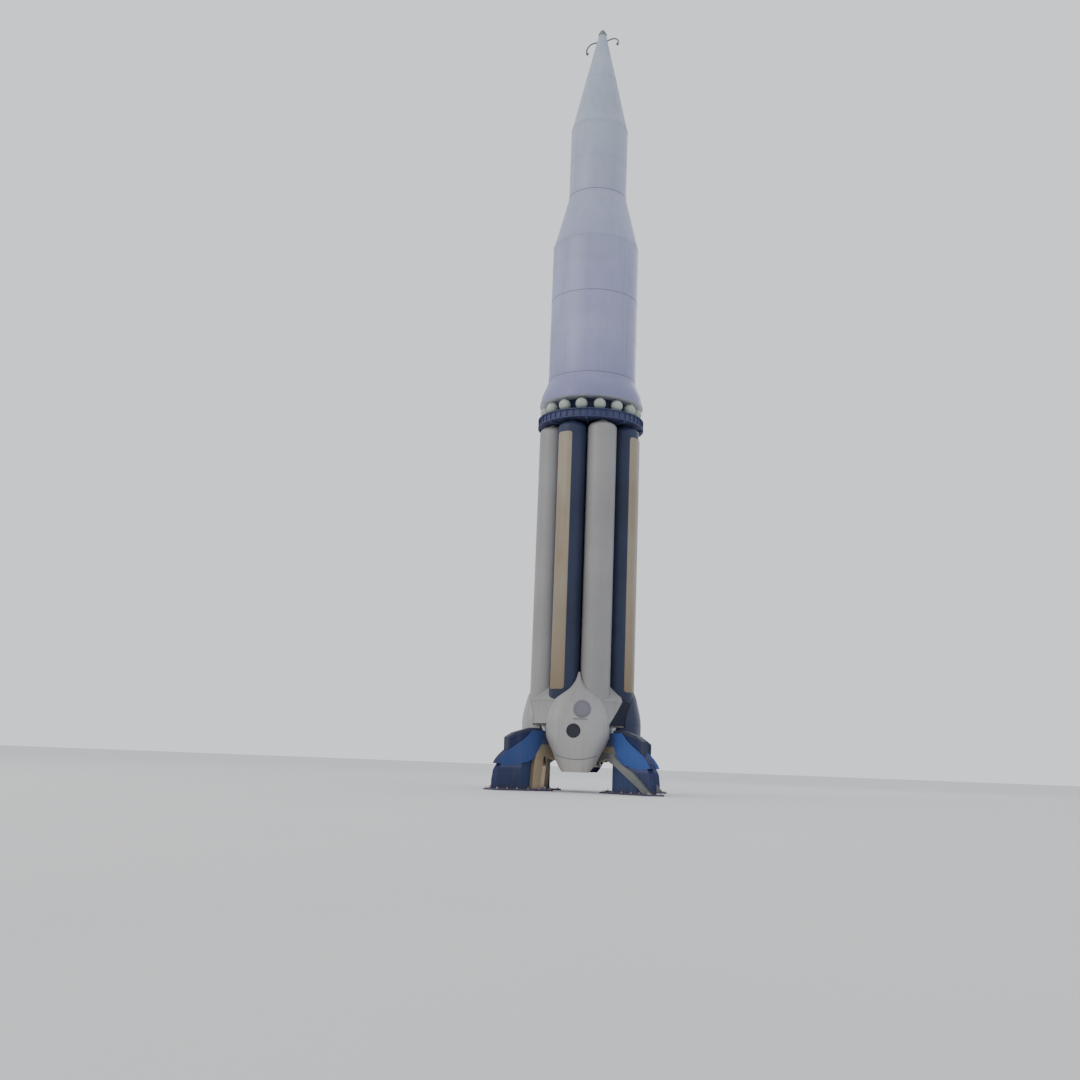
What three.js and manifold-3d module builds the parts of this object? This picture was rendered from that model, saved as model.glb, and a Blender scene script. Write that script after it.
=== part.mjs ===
// Space rocket of the early clustered-tank type, standing on its four support arms, as a half-size model.
// The first stage is eight slim tanks round a wide one, alternately white and black, on a tail drum with
// four engine shrouds. Above a dark spoked beam and a ring of gas spheres stand a flared adapter, the upper
// stage, a cone, the payload stage and the nose cone. Eight engines hang below; the outer four swivel.
// Frame: millimetres, +Z up, origin on the ground under the rocket's axis. The front shroud faces -Y.
import * as THREE from "three";
import { mergeVertices } from "three/addons/utils/BufferGeometryUtils.js";
import Module from "manifold-3d";

const wasm = await Module();
wasm.setup();

// Driving dimensions. Lengths are the full-size rocket's, in metres; mm() turns them into the model's.
const MODEL_SCALE = 1 / 2;
const mm = (metres) => metres * 1000 * MODEL_SCALE;
const DEG = Math.PI / 180;
const SEAM = 0.0008; // clearance between pieces that rest on each other: 0.4 mm on the model
const BEYOND = 1; // how far a cutting solid reaches past what it cuts
const ROUND = 64; // sides of the widest round pieces

// Heights above the ground.
const SHROUD_FOOT_Z = 1.15;
const SHIELD_Z = 3.8;
const DRUM_Z = 3.9;
const DRUM_RIM_Z = 5.3;
const DRUM_TOP_Z = 6.5;
const TANK_SHOULDER_Z = 21.85;
const TANK_CROWN_Z = 22.25;
const BEAM_Z = 22.37;
const BEAM_TOP_Z = 22.9;
const ADAPTER_Z = 23.78;
const UPPER_STAGE_Z = 25.4;
const CONE_Z = 34.4;
const PAYLOAD_Z = 38.0;
const NOSE_Z = 42.8;
const TIP_Z = 50.0;
const TOP_Z = 50.4;

// Radii from the rocket's axis, and the tanks' own.
const TANK_R = 0.889;
const TANK_PITCH_R = 2.375;
const CENTRE_TANK_R = 1.333;
const DRUM_R = 3.27;
const DRUM_TOP_R = 2.2;
const SHIELD_R = 3.2;
const BEAM_R = 3.33;
const UPPER_STAGE_R = 2.76;
const PAYLOAD_R = 1.86;
const NOSE_WAIST = { r: 1.02, z: 46.6 }; // where the nose cone's slope eases
const TIP_R = 0.24;

// Engines: where they swivel or are bolted on, their cant and their bell.
const GIMBAL_Z = 3.58;
const OUTER_ENGINE_R = 2.41;
const INNER_ENGINE_R = 0.813;
const OUTER_CANT = 6 * DEG;
const INNER_CANT = 3 * DEG;
const MOUNT_R = 0.16; // of an inner engine's fixed mount

// Directions of like pieces round the axis, in degrees from +X, counter-clockwise seen from above.
const SHROUDS = { front: -90, right: 0, back: 90, left: 180 };
const OXIDISER_TANKS = [-67.5, 22.5, 112.5, 202.5];
const FUEL_TANKS = [-112.5, -22.5, 67.5, 157.5];
const ARMS = [-45, 45, 135, -135];

const paint = (color, roughness = 0.55, metalness = 0) =>
  new THREE.MeshStandardMaterial({ color, roughness, metalness });
const WHITE = paint(0xd4d4d6);
const BLACK = paint(0x1b1e2b);
const DARK = paint(0x20263a, 0.6);
const SPHERES = paint(0xb9beb4, 0.4);
const BLUE = paint(0x2f5596, 0.5);
const CREAM = paint(0xb3a184, 0.6);
const PAD_GREY = paint(0xc3c8c6, 0.5);
const STEEL = paint(0x8b8780, 0.35, 0.8);
const LAMP_GREY = paint(0x6d7273, 0.45, 0.4);
const SHIELD_GREY = paint(0x55585a, 0.7);

const rocket = new THREE.Group();

// A closed geometry as a manifold solid, and back.
function solidOf(geometry) {
  const bare = geometry.index ? geometry.toNonIndexed() : geometry.clone();
  for (const name of Object.keys(bare.attributes)) {
    if (name !== "position") bare.deleteAttribute(name);
  }
  const merged = mergeVertices(bare, 1e-3);
  return new wasm.Manifold(
    new wasm.Mesh({
      numProp: 3,
      vertProperties: merged.attributes.position.array,
      triVerts: new Uint32Array(merged.index.array),
    }),
  );
}

function geometryOf(solid) {
  const mesh = solid.getMesh();
  const geometry = new THREE.BufferGeometry();
  geometry.setAttribute("position", new THREE.BufferAttribute(new Float32Array(mesh.vertProperties), 3));
  geometry.setIndex(new THREE.BufferAttribute(mesh.triVerts, 1));
  geometry.computeVertexNormals();
  return geometry;
}

// Adds a named mesh, turned about the rocket's axis by an angle in degrees.
function place(name, shape, material, turn = 0) {
  const geometry = shape.isBufferGeometry ? shape : geometryOf(shape);
  const mesh = new THREE.Mesh(geometry, material);
  mesh.name = name;
  mesh.rotation.z = turn * DEG;
  rocket.add(mesh);
}

// A solid of revolution about Z. The profile is [radius, z] pairs from the bottom to the top, in metres.
function turned(profile, segments) {
  const points = profile.map(([r, z]) => new THREE.Vector2(mm(r), mm(z)));
  return new THREE.LatheGeometry(points, segments).rotateX(Math.PI / 2);
}

// A plate: an outline of [radial, z] corners in metres, with its thickness centred on the XZ plane.
function plate(outline, thickness) {
  const shape = new THREE.Shape(outline.map(([x, z]) => new THREE.Vector2(mm(x), mm(z))));
  const depth = mm(thickness);
  return new THREE.ExtrudeGeometry(shape, { depth, bevelEnabled: false })
    .translate(0, 0, -depth / 2)
    .rotateX(Math.PI / 2);
}

// A block centred at (x, y) between two heights, in metres.
function block(x, y, width, length, low, high) {
  return new THREE.BoxGeometry(mm(width), mm(length), mm(high - low))
    .translate(mm(x), mm(y), mm((low + high) / 2));
}

// A round bar from one point to another, in metres.
function bar(from, to, radius, segments) {
  const a = new THREE.Vector3(...from.map(mm));
  const b = new THREE.Vector3(...to.map(mm));
  const along = b.clone().sub(a);
  const upright = new THREE.Vector3(0, 1, 0);
  const length = along.length();
  return new THREE.CylinderGeometry(mm(radius), mm(radius), length, segments)
    .applyQuaternion(new THREE.Quaternion().setFromUnitVectors(upright, along.normalize()))
    .translate((a.x + b.x) / 2, (a.y + b.y) / 2, (a.z + b.z) / 2);
}

function union(...geometries) {
  return geometries.map(solidOf).reduce((all, next) => all.add(next));
}

// Tanks. Each stands in its pocket in the tail drum and carries the beam on the stub of its crown.
const TANK_SEGMENTS = 32;
const STUB_R = 0.3;

function tankProfile(radius, crown, shoulder) {
  const dome = [0, 30, 60].map((t) => [
    STUB_R + (radius - STUB_R) * Math.cos(t * DEG),
    shoulder + (crown - shoulder) * Math.sin(t * DEG),
  ]);
  return [[0, DRUM_RIM_Z + SEAM], [radius, DRUM_RIM_Z + SEAM], ...dome,
    [STUB_R, crown], [STUB_R, BEAM_Z - SEAM], [0, BEAM_Z - SEAM]];
}

function makeTanks() {
  const tank = turned(tankProfile(TANK_R, TANK_CROWN_Z, TANK_SHOULDER_Z), TANK_SEGMENTS)
    .translate(mm(TANK_PITCH_R), 0, 0);
  OXIDISER_TANKS.forEach((turn, i) => place(`oxidiser_tank_${i + 1}`, tank, WHITE, turn));
  FUEL_TANKS.forEach((turn, i) => place(`fuel_tank_${i + 1}`, tank, BLACK, turn));
  const centre = tankProfile(CENTRE_TANK_R, TANK_CROWN_Z, TANK_SHOULDER_Z);
  place("centre_tank", turned(centre, TANK_SEGMENTS), WHITE);
}

// The room that a tank needs in the tail, with its seam all round.
function tankRoom(radius, pitch, turn) {
  const wall = radius / Math.cos(Math.PI / TANK_SEGMENTS) + SEAM;
  const high = DRUM_TOP_Z + BEYOND;
  const profile = [[0, DRUM_RIM_Z], [wall, DRUM_RIM_Z], [wall, high], [0, high]];
  return solidOf(turned(profile, TANK_SEGMENTS).translate(mm(pitch), 0, 0).rotateZ(turn * DEG));
}

// Tail drum: a short cylinder whose top slopes up between the tanks, which stand in it.
function makeDrum() {
  const wall = [[DRUM_R, DRUM_Z], [DRUM_R, DRUM_RIM_Z], [DRUM_TOP_R, DRUM_TOP_Z]];
  let drum = solidOf(turned([[0, DRUM_Z], ...wall, [0, DRUM_TOP_Z]], ROUND));
  for (const turn of [...OXIDISER_TANKS, ...FUEL_TANKS]) {
    drum = drum.subtract(tankRoom(TANK_R, TANK_PITCH_R, turn));
  }
  place("tail_drum", drum.subtract(tankRoom(CENTRE_TANK_R, 0, 0)), WHITE);
}

// Engine shrouds. Sections from the foot to the apex between two tanks, in metres.
const SHROUD_R = 3.56;
const SHROUD_SECTIONS = [
  // height, inner flat side, half width, outermost radius
  [SHROUD_FOOT_Z, 2.3, 1.0, SHROUD_R],
  [2.2, 2.3, 1.4, SHROUD_R],
  [2.9, 2.3, 1.74, SHROUD_R],
  [3.3, 2.3, 1.86, SHROUD_R],
  [4.05, 2.3, 1.86, SHROUD_R],
  [5.3, 2.5, 1.44, 3.34],
  [5.65, 2.5, 1.12, 3.25],
  [6.05, 2.5, 0.54, 3.08],
  [6.5, 2.5, 0.2, 2.9],
  [6.95, 2.5, 0.06, 2.7],
];
// The foot is level outboard and rises inboard: [distance from the axis, height] corners of what is cut away.
const FOOT_CUT = [[2.2, 1.0], [3.3, 1.0], [3.3, SHROUD_FOOT_Z + 0.02], [2.2, 2.7]];
const SHROUD_WALL = 0.06;
const SHROUD_SQUARENESS = 3; // exponent of the section's rounded outline: 2 is an ellipse
const SHROUD_STEPS = 14;
const PORT = { z: 3.5, aside: -0.16, radius: 0.42, depth: 0.03 };
const NEXT_TANKS = [-22.5, 22.5]; // directions of the two tanks beside a shroud, from the shroud's own

// One section's outline as [x, y, z] points: out along the rounded front, back along the flat side.
function shroudSection([z, inner, halfWidth, outer], wall) {
  const power = 2 / SHROUD_SQUARENESS;
  const points = [];
  for (let i = 0; i <= SHROUD_STEPS; i++) {
    const t = -Math.PI / 2 + (Math.PI * i) / SHROUD_STEPS;
    const x = inner + (outer - wall - inner) * Math.abs(Math.cos(t)) ** power;
    const y = (halfWidth - wall) * Math.sign(Math.sin(t)) * Math.abs(Math.sin(t)) ** power;
    points.push([i % SHROUD_STEPS ? x : inner, y, z]);
  }
  return points;
}

// A closed skin over sections of equally many points, each convex, listed upwards.
function lofted(sections) {
  const count = sections[0].length;
  const vertices = sections.flat().map((p) => new THREE.Vector3(...p.map(mm)));
  const faces = [];
  for (let s = 0; s + 1 < sections.length; s++) {
    for (let i = 0; i < count; i++) {
      const [a, b] = [s * count + i, s * count + ((i + 1) % count)];
      faces.push([a, b, b + count], [a, b + count, a + count]);
    }
  }
  const last = (sections.length - 1) * count;
  for (let i = 1; i + 1 < count; i++) {
    faces.push([0, i + 1, i], [last, last + i, last + i + 1]);
  }
  const geometry = new THREE.BufferGeometry().setFromPoints(vertices);
  geometry.setIndex(faces.flat());
  return geometry;
}

// The sections up to the heat shield, moved inwards, starting below the foot and ending in one at the shield.
function sectionsBelowShield(inwards) {
  const below = SHROUD_SECTIONS.filter(([z]) => z <= SHIELD_Z);
  const next = SHROUD_SECTIONS[below.length];
  const last = below.at(-1);
  const share = (SHIELD_Z - last[0]) / (next[0] - last[0]);
  const atShield = last.map((value, i) => value + (next[i] - value) * share);
  const start = [SHROUD_FOOT_Z - BEYOND, ...below[0].slice(1)];
  return [start, ...below, atShield].map(([z, inner, ...rest]) => [z, inner - inwards, ...rest]);
}

function makeShrouds() {
  const inside = sectionsBelowShield(2 * SHROUD_WALL).map((s) => shroudSection(s, SHROUD_WALL));
  const outside = SHROUD_SECTIONS.map((s) => shroudSection(s, 0));
  let shroud = solidOf(lofted(outside)).subtract(solidOf(lofted(inside)));
  // Clear of the drum and heat shield, and of the two tanks beside it.
  const drumRoom = [[0, SHIELD_Z - SEAM], [DRUM_R + SEAM, SHIELD_Z - SEAM], [DRUM_R + SEAM, DRUM_RIM_Z],
    [DRUM_TOP_R + SEAM, DRUM_TOP_Z + SEAM], [0, DRUM_TOP_Z + SEAM]];
  shroud = shroud.subtract(solidOf(turned(drumRoom, ROUND)));
  for (const turn of NEXT_TANKS) shroud = shroud.subtract(tankRoom(TANK_R, TANK_PITCH_R, turn));
  shroud = shroud.subtract(solidOf(plate(FOOT_CUT, 4 * BEYOND)));
  // The round port is a shallow recess in the outer wall, closed by its dark cover.
  const floor = [SHROUD_R - PORT.depth, PORT.aside, PORT.z];
  const recess = bar(floor, [SHROUD_R + BEYOND, PORT.aside, PORT.z], PORT.radius, 24);
  shroud = shroud.subtract(solidOf(recess));
  for (const [side, turn] of Object.entries(SHROUDS)) {
    const material = side === "right" || side === "back" ? BLACK : WHITE;
    place(`engine_shroud_${side}`, shroud, material, turn);
  }
}

// Swivel joint of an outer engine: lugs below the heat shield, a cross of two pins, lugs on the engine.
const PIN_R = 0.035;
const PIN_REACH = 0.2;
const LUG_IN = 0.13;
const LUG_OUT = 0.19;
const LUG_HALF = 0.07;
const HUB_HALF = 0.09;
const PIN_SEGMENTS = 16;
const HOLE_R = PIN_R / Math.cos(Math.PI / PIN_SEGMENTS) + 0.0006;

// Two lugs astride the swivel centre, across Y, reaching from it up or down to a height.
function lugs(reach) {
  const [low, high] = reach > 0 ? [-LUG_HALF, reach] : [reach, LUG_HALF];
  const side = (LUG_IN + LUG_OUT) / 2;
  const pair = [side, -side].map((y) => solidOf(block(0, y, 2 * LUG_HALF, LUG_OUT - LUG_IN, low, high)));
  const hole = solidOf(bar([0, -PIN_REACH * 2, 0], [0, PIN_REACH * 2, 0], HOLE_R, PIN_SEGMENTS));
  return pair[0].add(pair[1]).subtract(hole);
}

// A swivel's or engine's own frame at a radius: canted outwards, hung at GIMBAL_Z.
const hang = (radius, cant) => {
  const turn = new THREE.Matrix4().makeRotationY(-cant);
  return turn.setPosition(mm(radius), 0, mm(GIMBAL_Z));
};

// Heat shield: the plate under the drum, with the lugs that carry the outer engines.
function makeHeatShield() {
  const high = DRUM_Z - SEAM;
  let shield = solidOf(turned([[0, SHIELD_Z], [SHIELD_R, SHIELD_Z], [SHIELD_R, high], [0, high]], ROUND));
  const reach = (SHIELD_Z + high) / 2 - GIMBAL_Z;
  const carrier = geometryOf(lugs(reach)).applyMatrix4(hang(OUTER_ENGINE_R, OUTER_CANT));
  for (const turn of Object.values(SHROUDS)) {
    shield = shield.add(solidOf(carrier.clone().rotateZ(turn * DEG)));
  }
  place("heat_shield", shield, SHIELD_GREY);
}

function swivelCross() {
  return union(
    block(0, 0, 2 * HUB_HALF, 2 * HUB_HALF, -HUB_HALF, HUB_HALF),
    bar([0, -PIN_REACH, 0], [0, PIN_REACH, 0], PIN_R, PIN_SEGMENTS),
    bar([-PIN_REACH, 0, 0], [PIN_REACH, 0, 0], PIN_R, PIN_SEGMENTS),
  );
}

// Engine: chamber, throat and hollow bell, with the pump beside it. Heights are measured from the swivel.
const BELL = [
  // radius, height
  [0.58, -2.1],
  [0.5, -1.7],
  [0.41, -1.35],
  [0.3, -1.02],
  [0.17, -0.72],
  [0.27, -0.52],
  [0.27, -0.3],
  [0.2, -0.2],
];
const BELL_WALL = 0.03;
const BELL_THROAT = 5; // how many rows of the table the hollow follows
const ENGINE_TOP = -0.16;
const PUMP = { at: -0.47, radius: 0.15, low: -1.0, high: -0.3 };
const FEED_PIPE = { at: -0.2, z: -0.42, radius: 0.08 }; // from the middle of the pump to the chamber
const EXHAUST_PIPE = { at: -0.49, z: -1.5, radius: 0.06 }; // down from the foot of the pump

function engine() {
  const inside = BELL.slice(0, BELL_THROAT).map(([r, z]) => [r - BELL_WALL, z]).reverse();
  const neck = BELL.at(-1)[0];
  const profile = [[0, inside[0][1]], ...inside, ...BELL, [neck, ENGINE_TOP], [0, ENGINE_TOP]];
  const middle = (PUMP.low + PUMP.high) / 2;
  const foot = PUMP.low + PUMP.radius;
  return union(
    turned(profile, 20),
    bar([PUMP.at, 0, PUMP.low], [PUMP.at, 0, PUMP.high], PUMP.radius, 12),
    bar([PUMP.at, 0, middle], [FEED_PIPE.at, 0, FEED_PIPE.z], FEED_PIPE.radius, 8),
    bar([PUMP.at, 0, foot], [EXHAUST_PIPE.at, 0, EXHAUST_PIPE.z], EXHAUST_PIPE.radius, 8),
  );
}

function makeEngines() {
  const quarter = new THREE.Matrix4().makeRotationZ(Math.PI / 2);
  const engineLugs = solidOf(geometryOf(lugs(ENGINE_TOP - 0.02)).applyMatrix4(quarter));
  const outer = hang(OUTER_ENGINE_R, OUTER_CANT);
  const swivelling = geometryOf(engine().add(engineLugs)).applyMatrix4(outer);
  const cross = geometryOf(swivelCross()).applyMatrix4(outer);
  for (const [side, turn] of Object.entries(SHROUDS)) {
    place(`swivel_cross_${side}`, cross, STEEL, turn);
    place(`outer_engine_${side}`, swivelling, STEEL, turn);
  }
  // An inner engine is bolted to the shield: its mount is cut level there, and its pump faces outwards.
  const mount = solidOf(bar([0, 0, BELL.at(-1)[1]], [0, 0, BEYOND], MOUNT_R, 12));
  const halfTurn = new THREE.Matrix4().makeRotationZ(Math.PI);
  const inner = hang(INNER_ENGINE_R, INNER_CANT).multiply(halfTurn);
  const aboveShield = block(0, 0, 4 * BEYOND, 4 * BEYOND, SHIELD_Z - SEAM, SHIELD_Z + 2 * BEYOND);
  const fixed = solidOf(geometryOf(engine().add(mount)).applyMatrix4(inner)).subtract(solidOf(aboveShield));
  ARMS.forEach((turn, i) => place(`inner_engine_${i + 1}`, fixed, STEEL, turn));
}

// Top of the first stage: dark beam, ring of gas spheres and the core that carries the adapter.
const SPHERE_COUNT = 16;
const SPHERE_R = 0.37;
const SPHERE_RING_R = 2.86;
const SPHERE_Z = BEAM_TOP_Z + SPHERE_R + 0.02;
const SPHERE_TURN = 4; // degrees by which the ring is turned against the gaps between the tanks
const CORE_R = 2.35;
const SHELF = { inner: 2.45, outer: 3.15, height: 0.06 }; // the flat ring that the spheres sit on

function makeBeamAndSpheres() {
  const beam = [[0, BEAM_Z], [BEAM_R, BEAM_Z], [BEAM_R, BEAM_TOP_Z], [0, BEAM_TOP_Z]];
  place("spoked_beam", turned(beam, ROUND), DARK);
  const [low, high] = [BEAM_TOP_Z + SEAM, ADAPTER_Z - SEAM];
  place("interstage_core", turned([[0, low], [CORE_R, low], [CORE_R, high], [0, high]], 48), DARK);
  const top = low + SHELF.height;
  const shelf = [[SHELF.inner, low], [SHELF.outer, low], [SHELF.outer, top], [SHELF.inner, top]];
  let ring = solidOf(turned([...shelf, shelf[0]], ROUND));
  for (let i = 0; i < SPHERE_COUNT; i++) {
    const angle = ((i + 0.5) * 2 * Math.PI) / SPHERE_COUNT + SPHERE_TURN * DEG;
    const ball = new THREE.SphereGeometry(mm(SPHERE_R), 12, 6).rotateX(Math.PI / 2)
      .translate(mm(SPHERE_RING_R) * Math.cos(angle), mm(SPHERE_RING_R) * Math.sin(angle), mm(SPHERE_Z));
    ring = ring.add(solidOf(ball));
  }
  place("gas_sphere_ring", ring, SPHERES);
}

// Upper stages, from the flared adapter to the tip.
const STAGE_SIDES = 56;
const ADAPTER_FLARE = [[3.26, ADAPTER_Z], [3.12, 24.45], [2.85, 25.1]];

function makeUpperStages() {
  const stages = [
    ["flared_adapter", [...ADAPTER_FLARE, [UPPER_STAGE_R, UPPER_STAGE_Z]]],
    ["upper_stage", [[UPPER_STAGE_R, UPPER_STAGE_Z], [UPPER_STAGE_R, CONE_Z]]],
    ["payload_adapter_cone", [[UPPER_STAGE_R, CONE_Z], [PAYLOAD_R, PAYLOAD_Z]]],
    ["payload_stage", [[PAYLOAD_R, PAYLOAD_Z], [PAYLOAD_R, NOSE_Z]]],
    ["nose_cone", [[PAYLOAD_R, NOSE_Z], [NOSE_WAIST.r, NOSE_WAIST.z], [TIP_R, TIP_Z]]],
  ];
  for (const [name, skin] of stages) {
    const low = skin[0][1];
    const high = skin.at(-1)[1] - SEAM;
    const wall = [...skin.slice(0, -1), [skin.at(-1)[0], high]];
    place(name, turned([[0, low], ...wall, [0, high]], STAGE_SIDES), WHITE);
  }
  const cap = [0, 30, 60].map((t) => [
    TIP_R * Math.cos(t * DEG),
    TIP_Z + (TOP_Z - TIP_Z) * Math.sin(t * DEG),
  ]);
  place("nose_tip", turned([[0, TIP_Z], ...cap, [0, TOP_Z]], 16), LAMP_GREY);
}

// Two small lamps on bent rods near the tip. A route runs out from the nose: [distance from the axis, height].
const LAMP_ROUTES = {
  right: [[0.25, 49.55], [0.6, 49.72], [0.9, 49.74], [1.07, 49.56], [1.02, 49.38]],
  left: [[0.3, 49.5], [0.72, 49.38], [0.98, 49.1], [1.06, 48.84], [1.0, 48.7]],
};
const ROD_R = 0.045;
const LAMP = [[0, -0.14], [0.09, -0.14], [0.09, -0.02], [0.05, 0.06], [0, 0.06]]; // profile about the rod's end

function makeLamps() {
  const nose = [[0, NOSE_WAIST.z], [NOSE_WAIST.r + SEAM, NOSE_WAIST.z], [TIP_R + SEAM, TIP_Z], [0, TIP_Z]];
  const noseRoom = solidOf(turned(nose, STAGE_SIDES));
  const section = new THREE.Shape(new THREE.Path().absarc(0, 0, mm(ROD_R), 0, 2 * Math.PI).getPoints(4));
  for (const [side, route] of Object.entries(LAMP_ROUTES)) {
    const curve = new THREE.CatmullRomCurve3(route.map(([x, z]) => new THREE.Vector3(mm(x), 0, mm(z))));
    const options = { steps: 12, extrudePath: curve, bevelEnabled: false };
    const rod = solidOf(new THREE.ExtrudeGeometry(section, options));
    const [x, z] = route.at(-1).map(mm);
    const head = solidOf(turned(LAMP, 12).translate(x, 0, z));
    place(`tip_lamp_${side}`, rod.add(head).subtract(noseRoom), LAMP_GREY, side === "left" ? 180 : 0);
  }
}

// Support arms. Outlines are [distance from the axis, height] corners; across is the way round the axis,
// counter-clockwise. A blue strut leans on a cream column, whose brace and blue web are on its clockwise side.
const ARM_TOP_Z = 3.45;
const BASE = { from: 2.5, to: 6.65, width: 1.2, top: 0.1 };
const FLOOR_Z = BASE.top + SEAM;
const PAD = { at: 2.83, radius: 0.21 };
const HEAD = {
  outline: [
    [1.9, 1.78], [2.98, 2.08], [3.6, 2.08], [3.2, 2.7], [3.06, ARM_TOP_Z], [2.52, ARM_TOP_Z], [2.45, 2.8], [1.9, 2.4],
  ],
  across: [-0.21, 0.21],
};
const LEG = {
  outline: [[3.2, FLOOR_Z], [3.78, FLOOR_Z], [3.69, 1.4], [3.58, 2.1], [2.98, 2.1], [3.05, 1.3]],
  across: [-0.08, 0.21],
};
const BRACE = {
  outline: [
    [3.08, 2.3], [3.08, 1.78], [3.68, 1.5], [4.55, 0.98], [5.4, 0.5], [5.95, FLOOR_Z], [6.5, FLOOR_Z],
    [5.65, 0.81], [4.96, 1.27], [4.0, 1.71], [3.45, 2.1], [3.45, 2.3],
  ],
  across: [-0.42, -0.18],
};
const STRUT = {
  outline: [
    [3.61, 2.08], [3.7, 1.86], [4.18, 1.66], [4.69, 1.51], [5.52, 1.45], [6.34, 1.5], [6.17, 1.77], [5.91, 2.04],
    [5.58, 2.3], [4.64, 2.85], [4.29, 3.1], [3.95, ARM_TOP_Z], [3.07, ARM_TOP_Z], [3.21, 2.7],
  ],
  across: [-0.25, 0.25],
};
const SHOULDER = {
  outline: [
    [3.15, 3.3], [4.4, 2.9], [5.6, 2.2], [5.62, 2.99], [5.12, 3.27], [4.45, 3.46], [3.9, 3.6], [3.15, 3.6],
  ],
  across: [-0.2, 0.2],
};
const FOOT = {
  outline: [[4.6, 1.3], [5.5, FLOOR_Z], [6.4, FLOOR_Z], [6.4, 0.6], [6.3, 1.15], [6.0, 1.6], [4.6, 1.6]],
  across: [-0.23, 0.23],
};
const WEB = {
  outline: [[3.1, BASE.top / 2], [5.44, BASE.top / 2], [4.72, 1.1], [4.5, 1.42], [4.16, 1.56], [3.58, 1.8], [3.1, 1.98]],
  across: [-0.17, -0.09],
};

function slab({ outline, across: [from, to] }) {
  return plate(outline, to - from).translate(0, mm((from + to) / 2), 0);
}

function makeArms() {
  const post = union(slab(HEAD), slab(LEG), slab(BRACE));
  // The strut and its foot stand clear of the brace and of all that is under it on that side.
  const [toe, ...upperSide] = BRACE.outline.slice(-6, -1).map(([r, z]) => [r + 2 * SEAM, z + 2 * SEAM]);
  const room = slab({
    outline: [toe, ...upperSide, [upperSide.at(-1)[0], -BEYOND], [toe[0], -BEYOND]],
    across: [-BEYOND, BRACE.across[1] + 2 * SEAM],
  });
  const strut = union(slab(STRUT), slab(SHOULDER), slab(FOOT)).subtract(solidOf(room));
  const base = union(
    slab(WEB),
    block((BASE.from + BASE.to) / 2, 0, BASE.to - BASE.from, BASE.width, 0, BASE.top),
  );
  const [low, high] = [ARM_TOP_Z + SEAM, SHIELD_Z - SEAM];
  const pad = turned([[0, low], [PAD.radius, low], [PAD.radius, high], [0, high]], 20)
    .translate(mm(PAD.at), 0, 0);
  ARMS.forEach((turn, i) => {
    place(`arm_column_${i + 1}`, post, CREAM, turn);
    place(`arm_strut_${i + 1}`, strut, BLUE, turn);
    place(`arm_base_${i + 1}`, base, BLUE, turn);
    place(`arm_pad_${i + 1}`, pad, PAD_GREY, turn);
  });
}

makeTanks();
makeDrum();
makeShrouds();
makeHeatShield();
makeEngines();
makeBeamAndSpheres();
makeUpperStages();
makeLamps();
makeArms();

export default rocket;
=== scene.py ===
"""Looks of the half-size space rocket: smooth skins, small parts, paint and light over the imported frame."""

import math

import bpy
from mathutils import Matrix, Vector


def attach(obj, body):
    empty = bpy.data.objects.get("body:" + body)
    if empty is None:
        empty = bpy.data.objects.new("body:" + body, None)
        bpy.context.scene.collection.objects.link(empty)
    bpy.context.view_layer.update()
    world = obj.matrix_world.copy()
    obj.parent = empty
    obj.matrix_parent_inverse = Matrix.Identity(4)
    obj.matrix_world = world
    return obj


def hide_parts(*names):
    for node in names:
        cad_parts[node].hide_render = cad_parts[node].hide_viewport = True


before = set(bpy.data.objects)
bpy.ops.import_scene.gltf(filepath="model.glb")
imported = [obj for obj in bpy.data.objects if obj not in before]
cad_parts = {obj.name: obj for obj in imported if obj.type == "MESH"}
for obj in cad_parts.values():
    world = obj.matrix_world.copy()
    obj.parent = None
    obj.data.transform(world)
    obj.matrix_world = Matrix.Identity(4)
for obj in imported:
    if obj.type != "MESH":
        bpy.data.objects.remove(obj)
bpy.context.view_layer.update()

# The model is half as large as the real rocket. Lengths below are the real one's, in metres. Heights are
# above the ground, and directions are degrees from +X, counter-clockwise seen from above.
SCALE = 0.5
DEG = math.pi / 180
SIDES = {"front": -90, "right": 0, "back": 90, "left": 180}
OXIDISER_TANKS = [-67.5, 22.5, 112.5, 202.5]
FUEL_TANKS = [-112.5, -22.5, 67.5, 157.5]
ARMS = [-45, 45, 135, -135]

SHIELD_Z, DRUM_Z, DRUM_RIM_Z, DRUM_TOP_Z = 3.8, 3.9, 5.3, 6.5
SHOULDER_Z, CROWN_Z, BEAM_Z, BEAM_TOP_Z = 21.85, 22.25, 22.37, 22.9
ADAPTER_Z, STAGE_Z, CONE_Z, PAYLOAD_Z, NOSE_Z, TIP_Z, TOP_Z = 23.78, 25.4, 34.4, 38.0, 42.8, 50.0, 50.4
TANK_R, PITCH_R, CENTRE_R = 0.889, 2.375, 1.333
DRUM_R, DRUM_TOP_R, SHIELD_R, BEAM_R = 3.27, 2.2, 3.2, 3.33
CORE_R, STAGE_R, PAYLOAD_R, TIP_R = 2.35, 2.76, 1.86, 0.24
GIMBAL_Z, OUTER_R, INNER_R = 3.58, 2.41, 0.813
OUTER_CANT, INNER_CANT = 6 * DEG, 3 * DEG
SEAM = 0.0008
TANK_SIDES, ROUND_SIDES = 96, 160


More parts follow.
